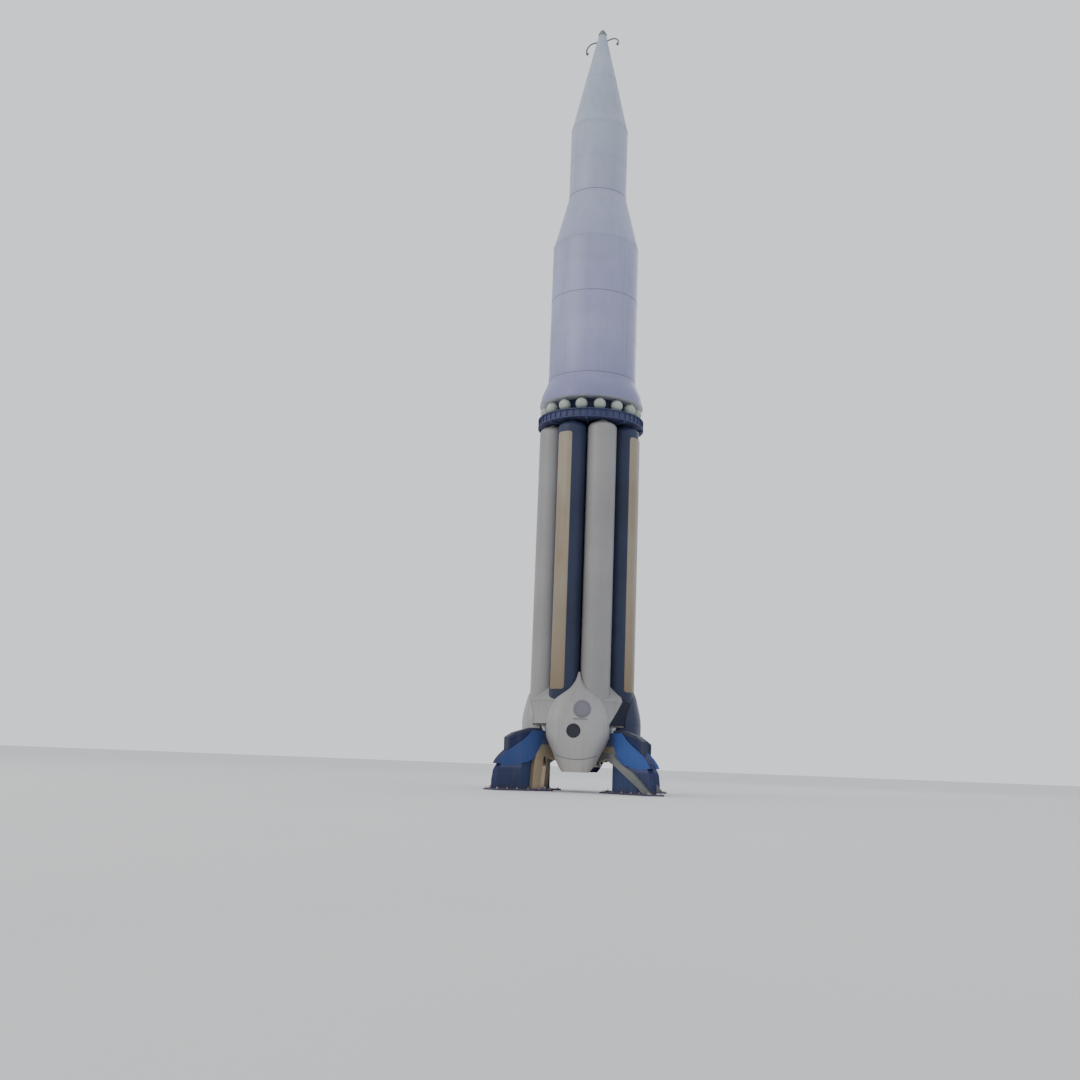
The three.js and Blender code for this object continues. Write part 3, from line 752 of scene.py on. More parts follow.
def add_drum():
    wall = [(DRUM_R - 0.01, DRUM_Z), (DRUM_R, DRUM_Z + 0.01), (DRUM_R, DRUM_RIM_Z), (DRUM_TOP_R, DRUM_TOP_Z)]
    solid = turned([(0, DRUM_Z), *wall, (0, DRUM_TOP_Z)], ROUND_SIDES)
    rooms = [tank_room(TANK_R, PITCH_R, t) for t in OXIDISER_TANKS + FUEL_TANKS] + [tank_room(CENTRE_R, 0, 0)]
    band_lows = (DRUM_Z, DRUM_RIM_Z - 0.06)
    bands = [ring(DRUM_R - 0.02, DRUM_R + 0.012, z, z + 0.05, ROUND_SIDES) for z in band_lows]
    heads = [bolt_row(120, DRUM_R, z, 1.5, 0.016) for z in (DRUM_Z + 0.1, DRUM_RIM_Z - 0.11)]
    parts = each(0, [carved(solid, rooms), *bands, *heads])
    piece("tail_drum_skin", parts, [DRUM], "white_skin", replaces=["tail_drum"])


SHROUD_FOOT_Z = 1.15
SHROUD_R = 3.56
SHROUD_SECTIONS = [
    # height, inner flat side, half width, outermost radius
    (SHROUD_FOOT_Z, 2.3, 1.0, SHROUD_R),
    (2.2, 2.3, 1.4, SHROUD_R),
    (2.9, 2.3, 1.74, SHROUD_R),
    (3.3, 2.3, 1.86, SHROUD_R),
    (4.05, 2.3, 1.86, SHROUD_R),
    (5.3, 2.5, 1.44, 3.34),
    (5.65, 2.5, 1.12, 3.25),
    (6.05, 2.5, 0.54, 3.08),
    (6.5, 2.5, 0.2, 2.9),
    (6.95, 2.5, 0.06, 2.7),
]
SHROUD_WALL = 0.06
SQUARENESS = 3
PORT_Z, PORT_ASIDE, PORT_R, PORT_DEPTH = 3.5, -0.16, 0.42, 0.03


def slope_after(k, column):
    low, high = SHROUD_SECTIONS[k], SHROUD_SECTIONS[k + 1]
    return (high[column] - low[column]) / (high[0] - low[0])


def slope_at(k, column):
    """The slope at a section, level where the sections turn back."""
    last = len(SHROUD_SECTIONS) - 1
    if k in (0, last):
        return slope_after(min(k, last - 1), column)
    before, after = slope_after(k - 1, column), slope_after(k, column)
    return 0 if before * after <= 0 else 2 * before * after / (before + after)


def shroud_row(z):
    """(inner side, half width, outermost radius) of a shroud at a height, eased between the sections."""
    i = max(k for k in range(len(SHROUD_SECTIONS) - 1) if SHROUD_SECTIONS[k][0] <= z or k == 0)
    low, high = SHROUD_SECTIONS[i], SHROUD_SECTIONS[i + 1]
    step = high[0] - low[0]
    t = (z - low[0]) / step
    values = []
    for column in (1, 2, 3):
        ease = slope_at(i, column) * t * (1 - t) ** 2 - slope_at(i + 1, column) * t * t * (1 - t)
        ends = low[column] * (1 + 2 * t) * (1 - t) ** 2 + high[column] * t * t * (3 - 2 * t)
        values.append(ends + step * ease)
    return values


def shroud_face(y, z, lift=0.0):
    """The point on a shroud's outer wall at a sideways distance and a height, in the shroud's own frame."""
    inner, half, outer = shroud_row(z)
    reach = max(1 - abs(y / half) ** SQUARENESS, 0) ** (1 / SQUARENESS)
    return Vector((inner + (outer - inner) * reach + lift, y, z))


def shroud_loft(heights, wall, inwards, floor=0.0):
    """A closed solid through the shroud's sections, its wall moved in and its lowest section lowered."""
    steps = 44
    verts = []
    for number, z in enumerate(heights):
        inner, half, outer = shroud_row(z)
        inner -= inwards
        for i in range(steps + 1):
            angle = -math.pi / 2 + math.pi * i / steps
            bulge = abs(math.cos(angle)) ** (2 / SQUARENESS) if 0 < i < steps else 0
            side = math.copysign(abs(math.sin(angle)) ** (2 / SQUARENESS), math.sin(angle))
            x = inner + (outer - wall - inner) * bulge
            verts.append(Vector((x, (half - wall) * side, z - (floor if number == 0 else 0))))
    count = steps + 1
    faces = [list(range(count))[::-1], list(range(len(verts) - count, len(verts)))]
    for s in range(len(heights) - 1):
        for i in range(count):
            a, b = s * count + i, s * count + (i + 1) % count
            faces.append([a, b, b + count, a + count])
    return verts, faces


def shroud_shape():
    top = SHROUD_SECTIONS[-1][0]
    heights = [SHROUD_FOOT_Z + (top - SHROUD_FOOT_Z) * i / 46 for i in range(47)]
    inside = [SHROUD_FOOT_Z + (SHIELD_Z - SHROUD_FOOT_Z) * i / 18 for i in range(19)]
    edge = DRUM_R + 0.014
    drum = [(0, SHIELD_Z - SEAM), (edge, SHIELD_Z - SEAM), (edge, DRUM_RIM_Z)]
    drum += [(DRUM_TOP_R, DRUM_TOP_Z), (0, DRUM_TOP_Z)]
    foot = [(2.2, 1.0), (3.3, 1.0), (3.3, SHROUD_FOOT_Z + 0.02), (2.2, 2.7)]
    recess = move(SHROUD_R - PORT_DEPTH, PORT_ASIDE, PORT_Z) @ FACE_OUT
    cutters = [
        shroud_loft(inside, SHROUD_WALL, 2 * SHROUD_WALL, 1.0),
        turned(drum, ROUND_SIDES),
        plate(foot, 5),
        turned([(0, 0), (PORT_R, 0), (PORT_R, 0.4), (0, 0.4)], 64, recess),
    ]
    cutters += [tank_room(TANK_R, PITCH_R, t) for t in (-22.5, 22.5)]
    return carved(shroud_loft(heights, 0, 0), cutters)


def port_cover(degrees):
    """The black cover in a shroud's recess: a dished plate in a bolted ring; its black is partly painted
    shade of the port's opening.
    """
    at = outward(degrees, SHROUD_R - PORT_DEPTH, PORT_Z, PORT_ASIDE)
    dish = turned([(0.34, 0.0), (0.33, 0.012), (0.2, 0.02), (0, 0.022)], 48, at)
    rim = ring(0.33, 0.405, 0.0, 0.026, 48, at)
    heads = bolts(spots_round(12, 0.367, 0.026, at), 0.014, 0.008)
    return joined([dish, rim, heads])


BAND_Z, BAND_RISE, BAND_HALF = 1.87, 0.33 / 1.4**2, 1.18


def band_height(y):
    """The foot band rises away from the middle of the shroud."""
    return BAND_Z + BAND_RISE * y * y


def shroud_band(degrees):
    """A thin bead of sealant that follows the curve of the foot."""
    ys = [BAND_HALF * (i / 20 - 1) for i in range(41)]
    return tube([turn(degrees) @ shroud_face(y, band_height(y)) for y in ys], 0.016, 8)


def rivets_at(degrees, points):
    """Small heads on a shroud's wall at (sideways, height) points."""
    frames = []
    for y, z in points:
        a, b, c = shroud_face(y, z), shroud_face(y + 0.01, z), shroud_face(y, z + 0.01)
        tilt = (b - a).cross(c - a).normalized().to_track_quat("Z", "Y").to_matrix().to_4x4()
        frames.append(turn(degrees) @ Matrix.Translation(a) @ tilt)
    return bolts(frames, 0.014, 0.008, 6)


def shroud_rivets(degrees):
    """One line above the foot band, one across at the drum's foot, and one up each side."""
    points = []
    for i in range(37):
        u = i / 18 - 1
        y = u * 1.14
        points += [(y, band_height(y) + 0.07), (u * 1.7, 4.0)]
    for i in range(26):
        z = 2.3 + 2.9 * i / 25
        edge = 0.985 * shroud_row(z)[1]
        points += [(-edge, z), (edge, z)]
    return rivets_at(degrees, points)


def add_shrouds():
    verts, faces = shroud_shape()
    for side, degrees in SIDES.items():
        dark = side in ("right", "back")
        paint, slot = (BLACK, "black_skin") if dark else (TAIL_WHITE, "white_skin")
        skin = ([turn(degrees) @ v for v in verts], faces)
        parts = [(0, skin), (0, shroud_rivets(degrees)), (1, shroud_band(degrees))]
        piece(f"shroud_skin_{side}", parts, [paint, SEALANT], slot, replaces=[f"engine_shroud_{side}"])
        piece(f"port_cover_{side}", [(0, port_cover(degrees))], [PORT], "black_skin", bevel=0.001)


COVER_Z, COVER_ASIDE, COVER_R, COVER_BOLTS_R, RAIL_Z = 4.76, 0.3, 0.52, 0.46, 4.18


def add_access_cover():
    """The round cover on the front shroud with its bolted rim, and the short grab rail below it."""
    rim = [(0, -0.02), (COVER_R, -0.02), (COVER_R, 0.014), (0.5, 0.024), (0.42, 0.024), (0.41, 0.012)]
    lid = [(0.39, 0.012), (0.38, 0.028), (0.3, 0.031), (0.2, 0.033), (0.1, 0.034), (0, 0.034)]
    verts, faces = turned(rim + lid, 64)
    front = turn(SIDES["front"])
    cover = [front @ shroud_face(COVER_ASIDE + v.x, COVER_Z + v.y, v.z) for v in verts]
    heads = []
    for across, up, lift in circle(COVER_BOLTS_R, 0.022, range(0, 360, 18)):
        at = shroud_face(COVER_ASIDE + across, COVER_Z + up, lift)
        heads.append(front @ Matrix.Translation(at) @ FACE_OUT)
    rail_at = [(COVER_ASIDE - 0.52 + 0.07 * i, 0.0 if i in (0, 12) else 0.04) for i in range(13)]
    rail = tube([front @ shroud_face(y, RAIL_Z, lift) for y, lift in rail_at], 0.018, 10)
    parts = [(0, (cover, faces)), (1, bolts(heads, 0.016, 0.014)), (0, rail)]
    piece("access_cover", parts, [COVER, STEEL], "white_skin")


def hang(radius, cant, degrees):
    return turn(degrees) @ move(radius, 0, GIMBAL_Z) @ Matrix.Rotation(-cant, 4, "Y")


PIN_HOLE = 0.036
LUG_IN, LUG_OUT, LUG_HALF = 0.13, 0.19, 0.07


def lug_pair(at, reach):
    """Two pierced ears across Y with their webs, reaching up or down to a height."""
    shapes = []
    middle, half = (LUG_IN + LUG_OUT) / 2, (LUG_OUT - LUG_IN) / 2
    for side in (-1, 1):
        ear = at @ move(0, side * middle, 0) @ Matrix.Rotation(math.pi / 2, 4, "X")
        shapes.append(ring(PIN_HOLE, LUG_HALF, -half, half, 32, ear))
        z = (0.045, reach) if reach > 0 else (reach, -0.045)
        y = (side * middle - half, side * middle + half)
        shapes.append(block((-LUG_HALF, LUG_HALF), y, z, at))
    return joined(shapes)


SHIELD_SEAMS = (1.55, 3.12)
SHIELD_STRIP_HALF = 0.025


def add_heat_shield():
    """The coated plate with seam strips and fasteners, and the ears that carry the outer engines."""
    top, half = DRUM_Z - SEAM, SHIELD_STRIP_HALF
    rim = [(SHIELD_R - 0.02, SHIELD_Z), (SHIELD_R, SHIELD_Z + 0.02), (SHIELD_R, top), (0, top)]
    low, high = SHIELD_Z - 0.008, SHIELD_Z + 0.01
    strips = [ring(r - half, r + half, low, high, 128) for r in SHIELD_SEAMS]
    strips += around(8, 22.5, SHIELD_SEAMS, (-half, half), (low, high))
    spots = spots_round(90, SHIELD_SEAMS[1], low) + spots_round(48, SHIELD_SEAMS[0], low)
    heads = bolts([at @ Matrix.Rotation(math.pi, 4, "X") for at in spots], 0.014, 0.01, 6)
    parts = each(0, [turned([(0, SHIELD_Z), *rim], ROUND_SIDES), *strips]) + [(1, heads)]
    parts += each(1, [lug_pair(hang(OUTER_R, OUTER_CANT, t), 0.27) for t in SIDES.values()])
    piece("heat_shield_plate", parts, [SHIELD, STEEL], "heat_shield", replaces=["heat_shield"])


# Engines, each about its swivel. The pump stands beside the chamber.
BELL_ROWS = [(0.58, -2.1), (0.5, -1.7), (0.41, -1.35), (0.3, -1.02), (0.17, -0.72)]
CHAMBER_ROWS = [(0.17, -0.72), (0.2, -0.64), (0.26, -0.54), (0.27, -0.46), (0.27, -0.3)]
BELL_WALL = 0.022
BELL_TUBES = 120
ENGINE_TOP = -0.16
PUMP_X, PUMP_MIDDLE = -0.47, -0.65
PUMP_ROWS = [
    # (radius, height): turbine, gears and pump, each between flanges
    *((0, -1.0), (0.1, -1.0), (0.13, -0.96), (0.13, -0.8), (0.15, -0.79), (0.15, -0.74)),
    *((0.115, -0.73), (0.115, -0.69), (0.15, -0.68), (0.15, -0.62), (0.12, -0.61), (0.12, -0.46)),
    *((0.15, -0.45), (0.15, -0.38), (0.1, -0.3), (0, -0.3)),
]
LINE_ROUTE = [(-0.42, 0.1, -0.6), (-0.33, 0.2, -0.66), (-0.16, 0.28, -0.6), (0, 0.29, -0.47)]


def bell_shape(at):
    """Outer and inner tube walls, ribbed lengthwise, joined at the exit."""
    outer = curve_profile(BELL_ROWS, 6)
    inner = [(r - BELL_WALL, z) for r, z in reversed(outer)]
    verts, faces = turned([(0, outer[-1][1]), *inner, *outer], BELL_TUBES)
    for v in verts:
        reach = math.hypot(v.x, v.y)
        if reach > 0.05:
            tube_number = round(math.atan2(v.y, v.x) / (2 * math.pi) * BELL_TUBES)
            factor = 1 + (0.003 if tube_number % 2 else -0.003) / reach
            v.x, v.y = v.x * factor, v.y * factor
    return [at @ v for v in verts], faces


def chamber_parts(at):
    """The chamber above the bell, the ring at the exit, a bolted flange and the fuel ring."""
    head = [(0.255, -0.26), (0.2, -0.22), (0.2, ENGINE_TOP), (0, ENGINE_TOP)]
    chamber = turned(curve_profile(CHAMBER_ROWS, 4) + head, 48, at)
    exit_ring = turned([(0.574, -2.1), (0.59, -2.096), (0.592, -2.06), (0.57, -2.05)], 60, at, closed=True)
    flange = ring(0.25, 0.3, -0.36, -0.3, 48, at)
    heads = bolts(spots_round(18, 0.283, -0.3, at), 0.012, 0.012, 6)
    fuel_ring = tube(circle(0.315, -0.42, range(-150, 151, 12)), 0.035, 10, at)
    return [chamber, exit_ring, flange, heads, fuel_ring]


def hoop_shapes(at):
    """Stiffening hoops round the bell."""
    shapes = []
    for z in (-1.95, -1.62, -1.3, -1.02):
        r = radius_at(BELL_ROWS, z) + 0.006
        shapes.append(ring(r - 0.012, r + 0.012, z - 0.018, z + 0.018, 60, at))
    return shapes


def engine_parts(at):
    """Bell, chamber, pump and pipes of one engine. 0 is bell metal, 1 steel, 2 cast metal."""
    pump_at = at @ move(PUMP_X, 0, 0)
    heads = bolts(spots_round(8, 0.134, PUMP_MIDDLE + 0.03, pump_at), 0.01, 0.01, 6)
    feed = [(PUMP_X, 0, PUMP_MIDDLE), (-0.36, 0, PUMP_MIDDLE + 0.03), (-0.29, 0, -0.5), (-0.24, 0, -0.44)]
    exhaust = [(PUMP_X, 0, -0.9), (-0.485, 0, -1.2), (-0.49, 0, -1.5)]
    cuff = ring(0.05, 0.07, -1.5, -1.46, 20, at @ move(-0.49, 0, 0))
    parts = [(0, bell_shape(at)), *each(1, chamber_parts(at)), (2, turned(PUMP_ROWS, 32, pump_at))]
    parts += [(1, heads), (1, tube(curved(feed, 5), 0.07, 14, at))]
    parts += [(0, tube(curved(exhaust, 5), 0.055, 14, at)), (1, cuff)]
    lines = [[(x, side * y, z) for x, y, z in LINE_ROUTE] for side in (-1, 1)]
    return parts + each(1, hoop_shapes(at) + [tube(curved(line, 4), 0.016, 8, at) for line in lines])


def add_engines():
    for side, degrees in SIDES.items():
        at = hang(OUTER_R, OUTER_CANT, degrees)
        name = f"outer_engine_{side}"
        parts = engine_parts(at) + [(1, lug_pair(at @ turn(90), ENGINE_TOP - 0.02))]
        piece(f"{name}_body", parts, [BELL, STEEL, CAST], "engine_steel", f"engine_{side}", [name])
        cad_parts[f"swivel_cross_{side}"].data.materials[0] = STEEL
    for i, degrees in enumerate(ARMS, 1):
        at = hang(INNER_R, INNER_CANT, degrees) @ turn(180)
        mount = turned([(0, ENGINE_TOP), (0.2, ENGINE_TOP), (0.17, -0.1), (0.16, 0.2), (0, 0.2)], 32, at)
        name = f"inner_engine_{i}"
        parts = engine_parts(at) + [(1, mount)]
        piece(f"{name}_body", parts, [BELL, STEEL, CAST], "engine_steel", replaces=[name])


# Top of the first stage.
def add_beam():
    """A dark channel-shaped ring with upright stiffeners, plates above and below, and spokes underneath; its
    navy is partly painted shade.
    """
    web, low, high = BEAM_R - 0.09, BEAM_Z, BEAM_TOP_Z
    profile = [(0, low), (BEAM_R, low), (BEAM_R, low + 0.05), (web, low + 0.06)]
    profile += [(web, high - 0.06), (BEAM_R, high - 0.05), (BEAM_R, high), (0, high)]
    stiffeners = around(48, 0, (web - 0.02, BEAM_R - 0.01), (-0.012, 0.012), (low + 0.03, high - 0.03))
    spokes = around(8, 0, (0.3, BEAM_R - 0.1), (-0.06, 0.06), (low - 0.1, low + 0.01))
    heads = [bolt_row(96, web, z, 1.9, 0.016) for z in (low + 0.12, high - 0.12)]
    parts = each(0, [turned(profile, ROUND_SIDES), *stiffeners, *spokes, *heads])
    piece("beam_frame", parts, [BEAM], "dark_frame", replaces=["spoked_beam"])


def add_core():
    low, high, skin_r = BEAM_TOP_Z + SEAM, ADAPTER_Z - SEAM, CORE_R - 0.03
    skin = turned([(0, low), (skin_r, low), (skin_r, high), (0, high)], 120)
    stringers = around(60, 0, (CORE_R - 0.05, CORE_R), (-0.02, 0.02), (low, high))
    # The core takes the beam's navy, partly painted shade.
    piece("core_skin", each(0, [skin, *stringers]), [BEAM], "dark_frame", replaces=["interstage_core"])


SPHERE_COUNT, SPHERE_R, SPHERE_RING_R, SPHERE_TURN = 16, 0.37, 2.86, 4
SPHERE_Z = BEAM_TOP_Z + SPHERE_R + 0.02
PIPE_R, PIPE_LIFT = 2.44, 0.33


def add_spheres():
    """Gas spheres with a weld belt and a neck each, on a flat shelf, joined by a thin pipe inboard."""
    low = BEAM_TOP_Z + SEAM
    # The shelf, the necks and the pipes take the beam's navy, partly painted shade.
    parts = [(1, ring(2.45, 3.15, low, low + 0.06, 128))]
    for i in range(SPHERE_COUNT):
        at = turn((i + 0.5) * 360 / SPHERE_COUNT + SPHERE_TURN) @ move(SPHERE_RING_R, 0, SPHERE_Z)
        parts.append((0, ball(SPHERE_R, at, 40)))
        parts.append((0, ring(SPHERE_R - 0.01, SPHERE_R + 0.006, -0.015, 0.015, 48, at)))
        parts.append((1, ring(0.13, 0.2, -SPHERE_R - 0.01, -SPHERE_R + 0.07, 24, at)))
        branch = [(-0.2, 0, 0.28), (-0.3, 0, PIPE_LIFT), (PIPE_R - SPHERE_RING_R, 0, PIPE_LIFT)]
        parts.append((1, tube(branch, 0.018, 8, at)))
    parts.append((1, tube(circle(PIPE_R, SPHERE_Z + PIPE_LIFT, range(0, 361, 5)), 0.02, 8)))
    piece("sphere_ring", parts, [SPHERE, BEAM], "sphere_paint", replaces=["gas_sphere_ring"])


# Upper stages.
LAP_HALF = 0.03


def hoop(profile, low, high, lift):
    """A thin raised ring on a skin between two heights."""
    bottom, top = radius_at(profile, low), radius_at(profile, high)
    section = [(bottom - 0.01, low), (bottom + lift, low), (top + lift, high), (top - 0.01, high)]
    return turned(section, ROUND_SIDES, closed=True)


def stage_skin(name, profile, node, seams, sealed, rivets):
    """A smooth skin with lap bands at heights, sealant under some, and rivets as (count, height) rows."""
    low, high = profile[0][1], profile[-1][1] - SEAM
    wall = [*profile[:-1], (profile[-1][0], high)]
    parts = [(0, turned([(0, low), *wall, (0, high)], ROUND_SIDES))]
    parts += each(0, [hoop(profile, z - LAP_HALF, z + LAP_HALF, 0.007) for z in seams])
    parts += each(1, [hoop(profile, z - 2 * LAP_HALF, z - LAP_HALF, 0.004) for z in sealed])
    parts += each(0, [bolt_row(count, radius_at(profile, z), z, 1.0, 0.014) for count, z in rivets])
    piece(name, parts, [WHITE, SEALANT], "white_skin", replaces=[node])


def lengthwise(radius, low, high, count, start):
    """Thin upright lap strips on a cylinder."""
    depth = (radius - 0.01, radius + 0.006)
    return around(count, start, depth, (-LAP_HALF, LAP_HALF), (low + 0.08, high - 0.08))


def add_stages():
    flare = curve_profile([(3.26, ADAPTER_Z), (3.12, 24.45), (2.85, 25.1), (STAGE_R, STAGE_Z)], 8)
    rows = [(120, ADAPTER_Z + 0.14), (120, STAGE_Z - 0.18)]
    stage_skin("adapter_skin", flare, "flared_adapter", [ADAPTER_Z + 0.06], [], rows)

    wide = [(STAGE_R, STAGE_Z), (STAGE_R, CONE_Z)]
    seams = [STAGE_Z + 0.06, 28.1, 30.8, 33.0, CONE_Z - 0.04]
    rows = [(110, z + side) for z in seams for side in (-0.12, 0.12)]
    stage_skin("upper_stage_skin", wide, "upper_stage", seams, [STAGE_Z + 0.06, 30.8], rows)

    cone = [(STAGE_R, CONE_Z), (PAYLOAD_R, PAYLOAD_Z)]
    rows = [(110, CONE_Z + 0.14), (76, PAYLOAD_Z - 0.14)]
    stage_skin("payload_cone_skin", cone, "payload_adapter_cone", [CONE_Z + 0.07, PAYLOAD_Z - 0.05], [], rows)

    slim = [(PAYLOAD_R, PAYLOAD_Z), (PAYLOAD_R, NOSE_Z)]
    seams = [PAYLOAD_Z + 0.06, 40.4, NOSE_Z - 0.04]
    rows = [(76, z + side) for z in seams for side in (-0.12, 0.12)]
    stage_skin("payload_stage_skin", slim, "payload_stage", seams, [PAYLOAD_Z + 0.06], rows)

    nose = curve_profile([(PAYLOAD_R, NOSE_Z), (1.44, 44.7), (1.02, 46.6), (0.62, 48.35), (TIP_R, TIP_Z)], 6)
    rows = [(76, NOSE_Z + 0.16), (48, 46.5)]
    stage_skin("nose_skin", nose, "nose_cone", [NOSE_Z + 0.07, 46.6, 49.8], [], rows)

    laps = lengthwise(STAGE_R, STAGE_Z, CONE_Z, 6, 25) + lengthwise(PAYLOAD_R, PAYLOAD_Z, NOSE_Z, 4, 40)
    piece("stage_lap_strips", each(0, laps), [WHITE], "white_skin")


def add_tip():
    """The rounded cap and a collar round its foot."""
    cap = [(0, TIP_Z), *quarter_arc(TIP_R, TIP_Z, 0, TOP_Z)]
    collar = [(0.2, 49.96), (0.275, 49.97), (0.285, 50.06), (0.25, 50.12), (0.2, 50.12)]
    parts = each(0, [turned(cap, 48), turned(collar, 48, closed=True)])
    piece("nose_tip_cap", parts, [LAMP], "lamp_grey", replaces=["nose_tip"])


LAMP_ROUTES = {
    "right": (0, [(0.25, 49.55), (0.6, 49.72), (0.9, 49.74), (1.07, 49.56), (1.02, 49.38)]),
    "left": (180, [(0.3, 49.5), (0.72, 49.38), (0.98, 49.1), (1.06, 48.84), (1.0, 48.7)]),
}
LAMP_ROD_R = 0.052
LAMP_SOCKET = [(0, -0.06), (0.07, -0.06), (0.1, -0.05), (0.1, 0.0), (0.06, 0.07), (0, 0.07)]
LAMP_LENS = [(0, -0.14), (0.035, -0.135), (0.07, -0.11), (0.078, -0.07), (0.07, -0.05)]


def add_lamps():
    """Small lamps at the ends of bent rods."""
    for side, (degrees, route) in LAMP_ROUTES.items():
        at = turn(degrees)
        rod = tube(curved([(x, 0, z) for x, z in route], 8), LAMP_ROD_R, 14, at)
        x, z = route[-1]
        end = at @ move(x, 0, z)
        x, z = route[0]
        foot = ring(0.03, 0.075, 0.09, 0.13, 20, at @ move(x - 0.05, 0, z) @ FACE_OUT)
        parts = [(0, rod), (0, turned(LAMP_SOCKET, 24, end)), (1, turned(LAMP_LENS, 24, end)), (0, foot)]
        piece(f"lamp_{side}", parts, [LAMP, LENS], "lamp_grey", replaces=[f"tip_lamp_{side}"])


# Support arms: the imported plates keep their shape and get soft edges, paint, bolts and weld beads.
BASE_TOP = 0.1
ANCHORS = [(x, y) for x in (2.7, 3.5, 4.3, 5.1, 5.8, 6.5) for y in (-0.51, 0.51)]
WELD_LINES = [
    # (radial, across) of both ends
    ((3.12, -0.175), (5.42, -0.175)),
    ((3.22, 0.22), (3.76, 0.22)),
    ((5.52, 0.24), (6.38, 0.24)),
    ((5.98, -0.43), (6.48, -0.43)),
    ((3.19, -0.06), (3.19, 0.2)),
    ((3.79, -0.06), (3.79, 0.2)),
]


def arm_fittings(at):
    """Anchor bolts with washers on the base plate, and weld beads along what stands on it."""
    steel = []
    for x, y in ANCHORS:
        spot = at @ move(x, y, BASE_TOP)
        washer, nut = disc(0.075, 0, 0.016, 20, spot, 0.004), disc(0.045, 0.016, 0.056, 6, spot, 0.008)
        steel += [washer, nut, disc(0.025, 0.056, 0.09, 12, spot, 0.006)]
    beads = [tube([(x, y, BASE_TOP + 0.005) for x, y in line], 0.018, 6, at) for line in WELD_LINES]
    return joined(steel), joined(beads)


STRUT_LINES = [
    [(3.84, 1.96), (4.25, 1.8), (4.72, 1.66), (5.5, 1.6), (6.08, 1.62)],
    [(6.0, 1.79), (5.8, 1.97), (5.5, 2.19), (4.56, 2.73), (4.2, 2.98), (3.9, 3.3), (3.3, 3.3)],
]
BRACE_LINE = [(3.26, 1.92), (3.66, 1.7), (3.95, 1.57), (4.88, 1.05), (5.55, 0.6)]
STRUT_FACES, BRACE_FACES = [(-0.25, -1), (0.25, 1)], [(-0.42, -1)]


def heads_along(corners, sides, at, gap):
    """Bolt heads along a line of (radial, z) corners, on the face at each (distance across, way it faces)."""
    frames = []
    for (x0, z0), (x1, z1) in zip(corners, corners[1:]):
        count = max(round(math.dist((x0, z0), (x1, z1)) / gap), 1)
        for k in range(count):
            x, z = x0 + (x1 - x0) * k / count, z0 + (z1 - z0) * k / count
            for across, way in sides:
                frames.append(at @ move(x, across, z) @ Matrix.Rotation(-way * math.pi / 2, 4, "X"))
    return bolts(frames, 0.026, 0.018)


SHOULDER_TOP = [(3.16, 3.612), (3.9, 3.612), (4.46, 3.472), (5.13, 3.282), (5.63, 2.998), (5.612, 2.2)]
SHOULDER_CAP_INNER = [(5.47, 2.3), (5.48, 2.91), (5.05, 3.12), (4.42, 3.3), (3.87, 3.44), (3.16, 3.44)]
SHOULDER_CAP_WIDTH = 0.424


def shoulder_cap(at):
    """The flange along the shoulder's upper and outer edge, a little proud of it."""
    return plate(SHOULDER_TOP + SHOULDER_CAP_INNER, SHOULDER_CAP_WIDTH, at)


PAD_Z, PAD_AT = 3.45, 2.83
PAD_FOOT = [(0, 0), (0.2, 0), (0.21, 0.01), (0.21, 0.06), (0.165, 0.075)]  # (radius, above its lower end)
PAD_HEAD = [(0.165, 0.1), (0.21, 0.085), (0.21, 0.01), (0.2, 0), (0, 0)]  # (radius, below its upper end)


def pad_shape(at):
    """A short post between two round plates."""
    rows = [(r, PAD_Z + SEAM + up) for r, up in PAD_FOOT]
    rows += [(r, SHIELD_Z - SEAM - down) for r, down in PAD_HEAD]
    return turned(rows, 48, at @ move(PAD_AT, 0, 0))


def add_arms():
    for i, degrees in enumerate(ARMS, 1):
        for node, material in (("arm_strut", BLUE), ("arm_base", BASE_BLUE), ("arm_column", CREAM)):
            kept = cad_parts[f"{node}_{i}"]
            kept.data.materials[0] = material
            soften(kept, 0.006)
        at = turn(degrees)
        steel, beads = arm_fittings(at)
        piece(f"arm_fittings_{i}", [(0, steel), (1, beads)], [STEEL, BASE_BLUE], "arm_blue")
        heads = joined([heads_along(line, STRUT_FACES, at, 0.2) for line in STRUT_LINES])
        brace_heads = heads_along(BRACE_LINE, BRACE_FACES, at, 0.24)
        piece(f"arm_bolts_{i}", [(0, heads), (1, brace_heads)], [BLUE, CREAM], "arm_blue")
        piece(f"arm_pad_body_{i}", [(0, pad_shape(at))], [PAD], "pad_grey", replaces=[f"arm_pad_{i}"])
        piece(f"arm_cap_{i}", [(0, shoulder_cap(at))], [CAP], "arm_blue", bevel=0.004)


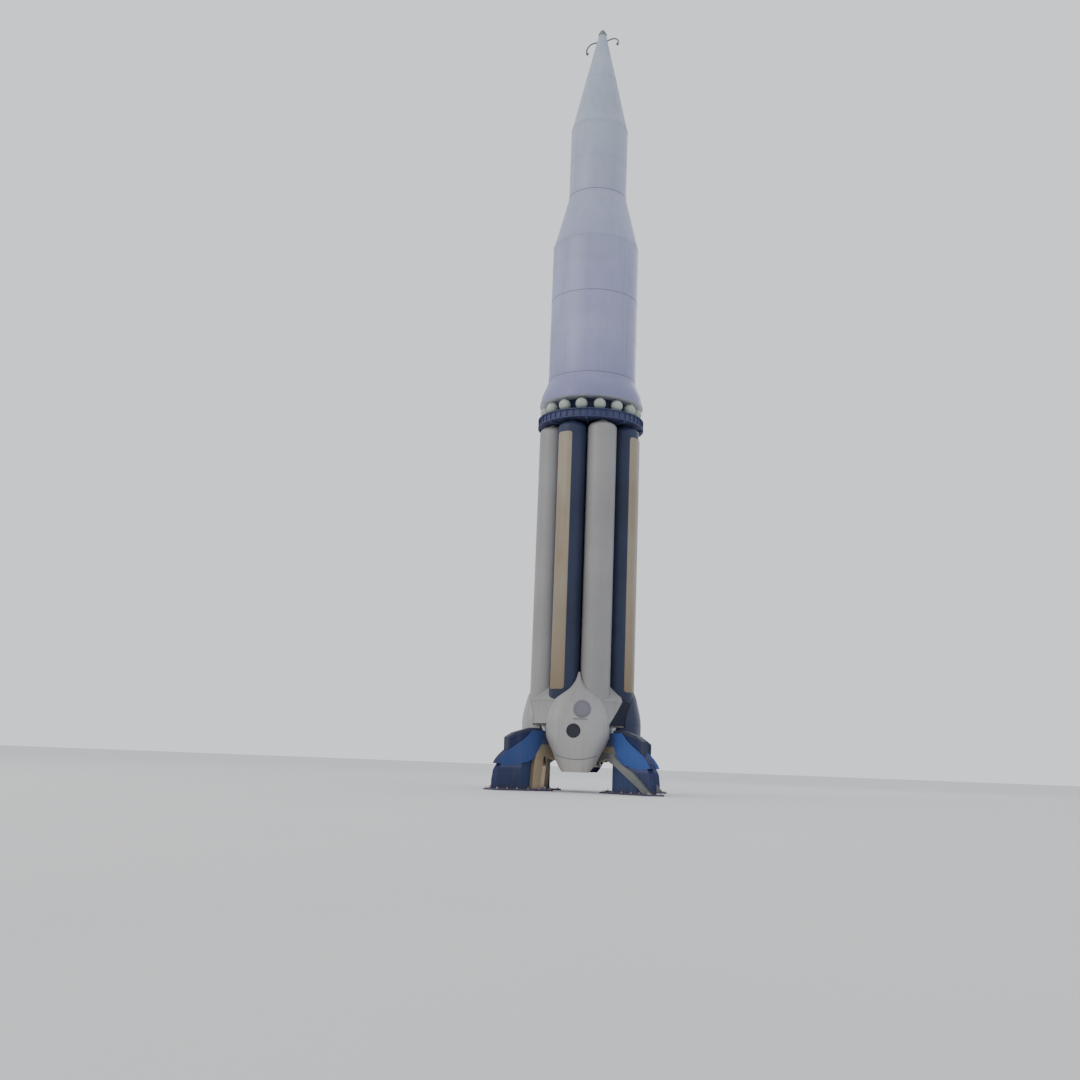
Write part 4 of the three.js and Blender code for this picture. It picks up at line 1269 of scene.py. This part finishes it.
# Room: camera of the photograph, floor and light. These are the model's own metres.
def add_camera():
    data = bpy.data.cameras.new("camera")
    data.lens, data.sensor_width, data.clip_end = 40, 36, 2000
    camera = linked("camera", data)
    azimuth, aim_left, pitch, roll = 4.9 * DEG, 0.04, 10.6 * DEG, 0.038
    distance, eye = 73.4 * SCALE, 1.5 * SCALE
    place = Matrix.Translation((distance * math.sin(azimuth), -distance * math.cos(azimuth), eye))
    turned_by = Matrix.Rotation(azimuth + aim_left, 4, "Z") @ Matrix.Rotation(math.pi / 2 + pitch, 4, "X")
    camera.matrix_world = place @ turned_by @ Matrix.Rotation(roll, 4, "Z")
    bpy.context.scene.camera = camera


def add_floor():
    mesh = bpy.data.meshes.new("floor")
    reach = 900
    corners = [(-reach, -reach, 0), (reach, -reach, 0), (reach, reach, 0), (-reach, reach, 0)]
    mesh.from_pydata(corners, [], [[0, 1, 2, 3]])
    mesh.materials.append(floor_surface())
    linked("floor", mesh)


def add_light(name, place, aim, size, power, colour):
    data = bpy.data.lights.new(name, "AREA")
    data.shape, data.size, data.energy, data.color = "DISK", size, power, colour
    lamp = linked(name, data)
    lamp.location = place
    lamp.rotation_mode = "QUATERNION"
    lamp.rotation_quaternion = (Vector(aim) - Vector(place)).to_track_quat("-Z", "Y")


def add_lights():
    world = bpy.data.worlds.new("studio")
    world.use_nodes = True
    background = world.node_tree.nodes["Background"]
    background.inputs["Color"].default_value = (0.93, 0.95, 1.0, 1)
    background.inputs["Strength"].default_value = 1.1
    bpy.context.scene.world = world
    add_light("key", (-34, -30, 30), (0, 0, 12), 24, 6000, (1.0, 0.94, 0.84))
    add_light("fill", (36, -22, 14), (0, 0, 10), 20, 600, (0.85, 0.88, 1.0))
    add_light("back", (14, 40, 30), (0, 0, 14), 20, 2000, (1.0, 1.0, 1.0))


add_camera()
add_tanks()
add_drum()
add_shrouds()
add_access_cover()
add_heat_shield()
add_engines()
add_beam()
add_core()
add_spheres()
add_stages()
add_tip()
add_lamps()
add_arms()
add_floor()
add_lights()
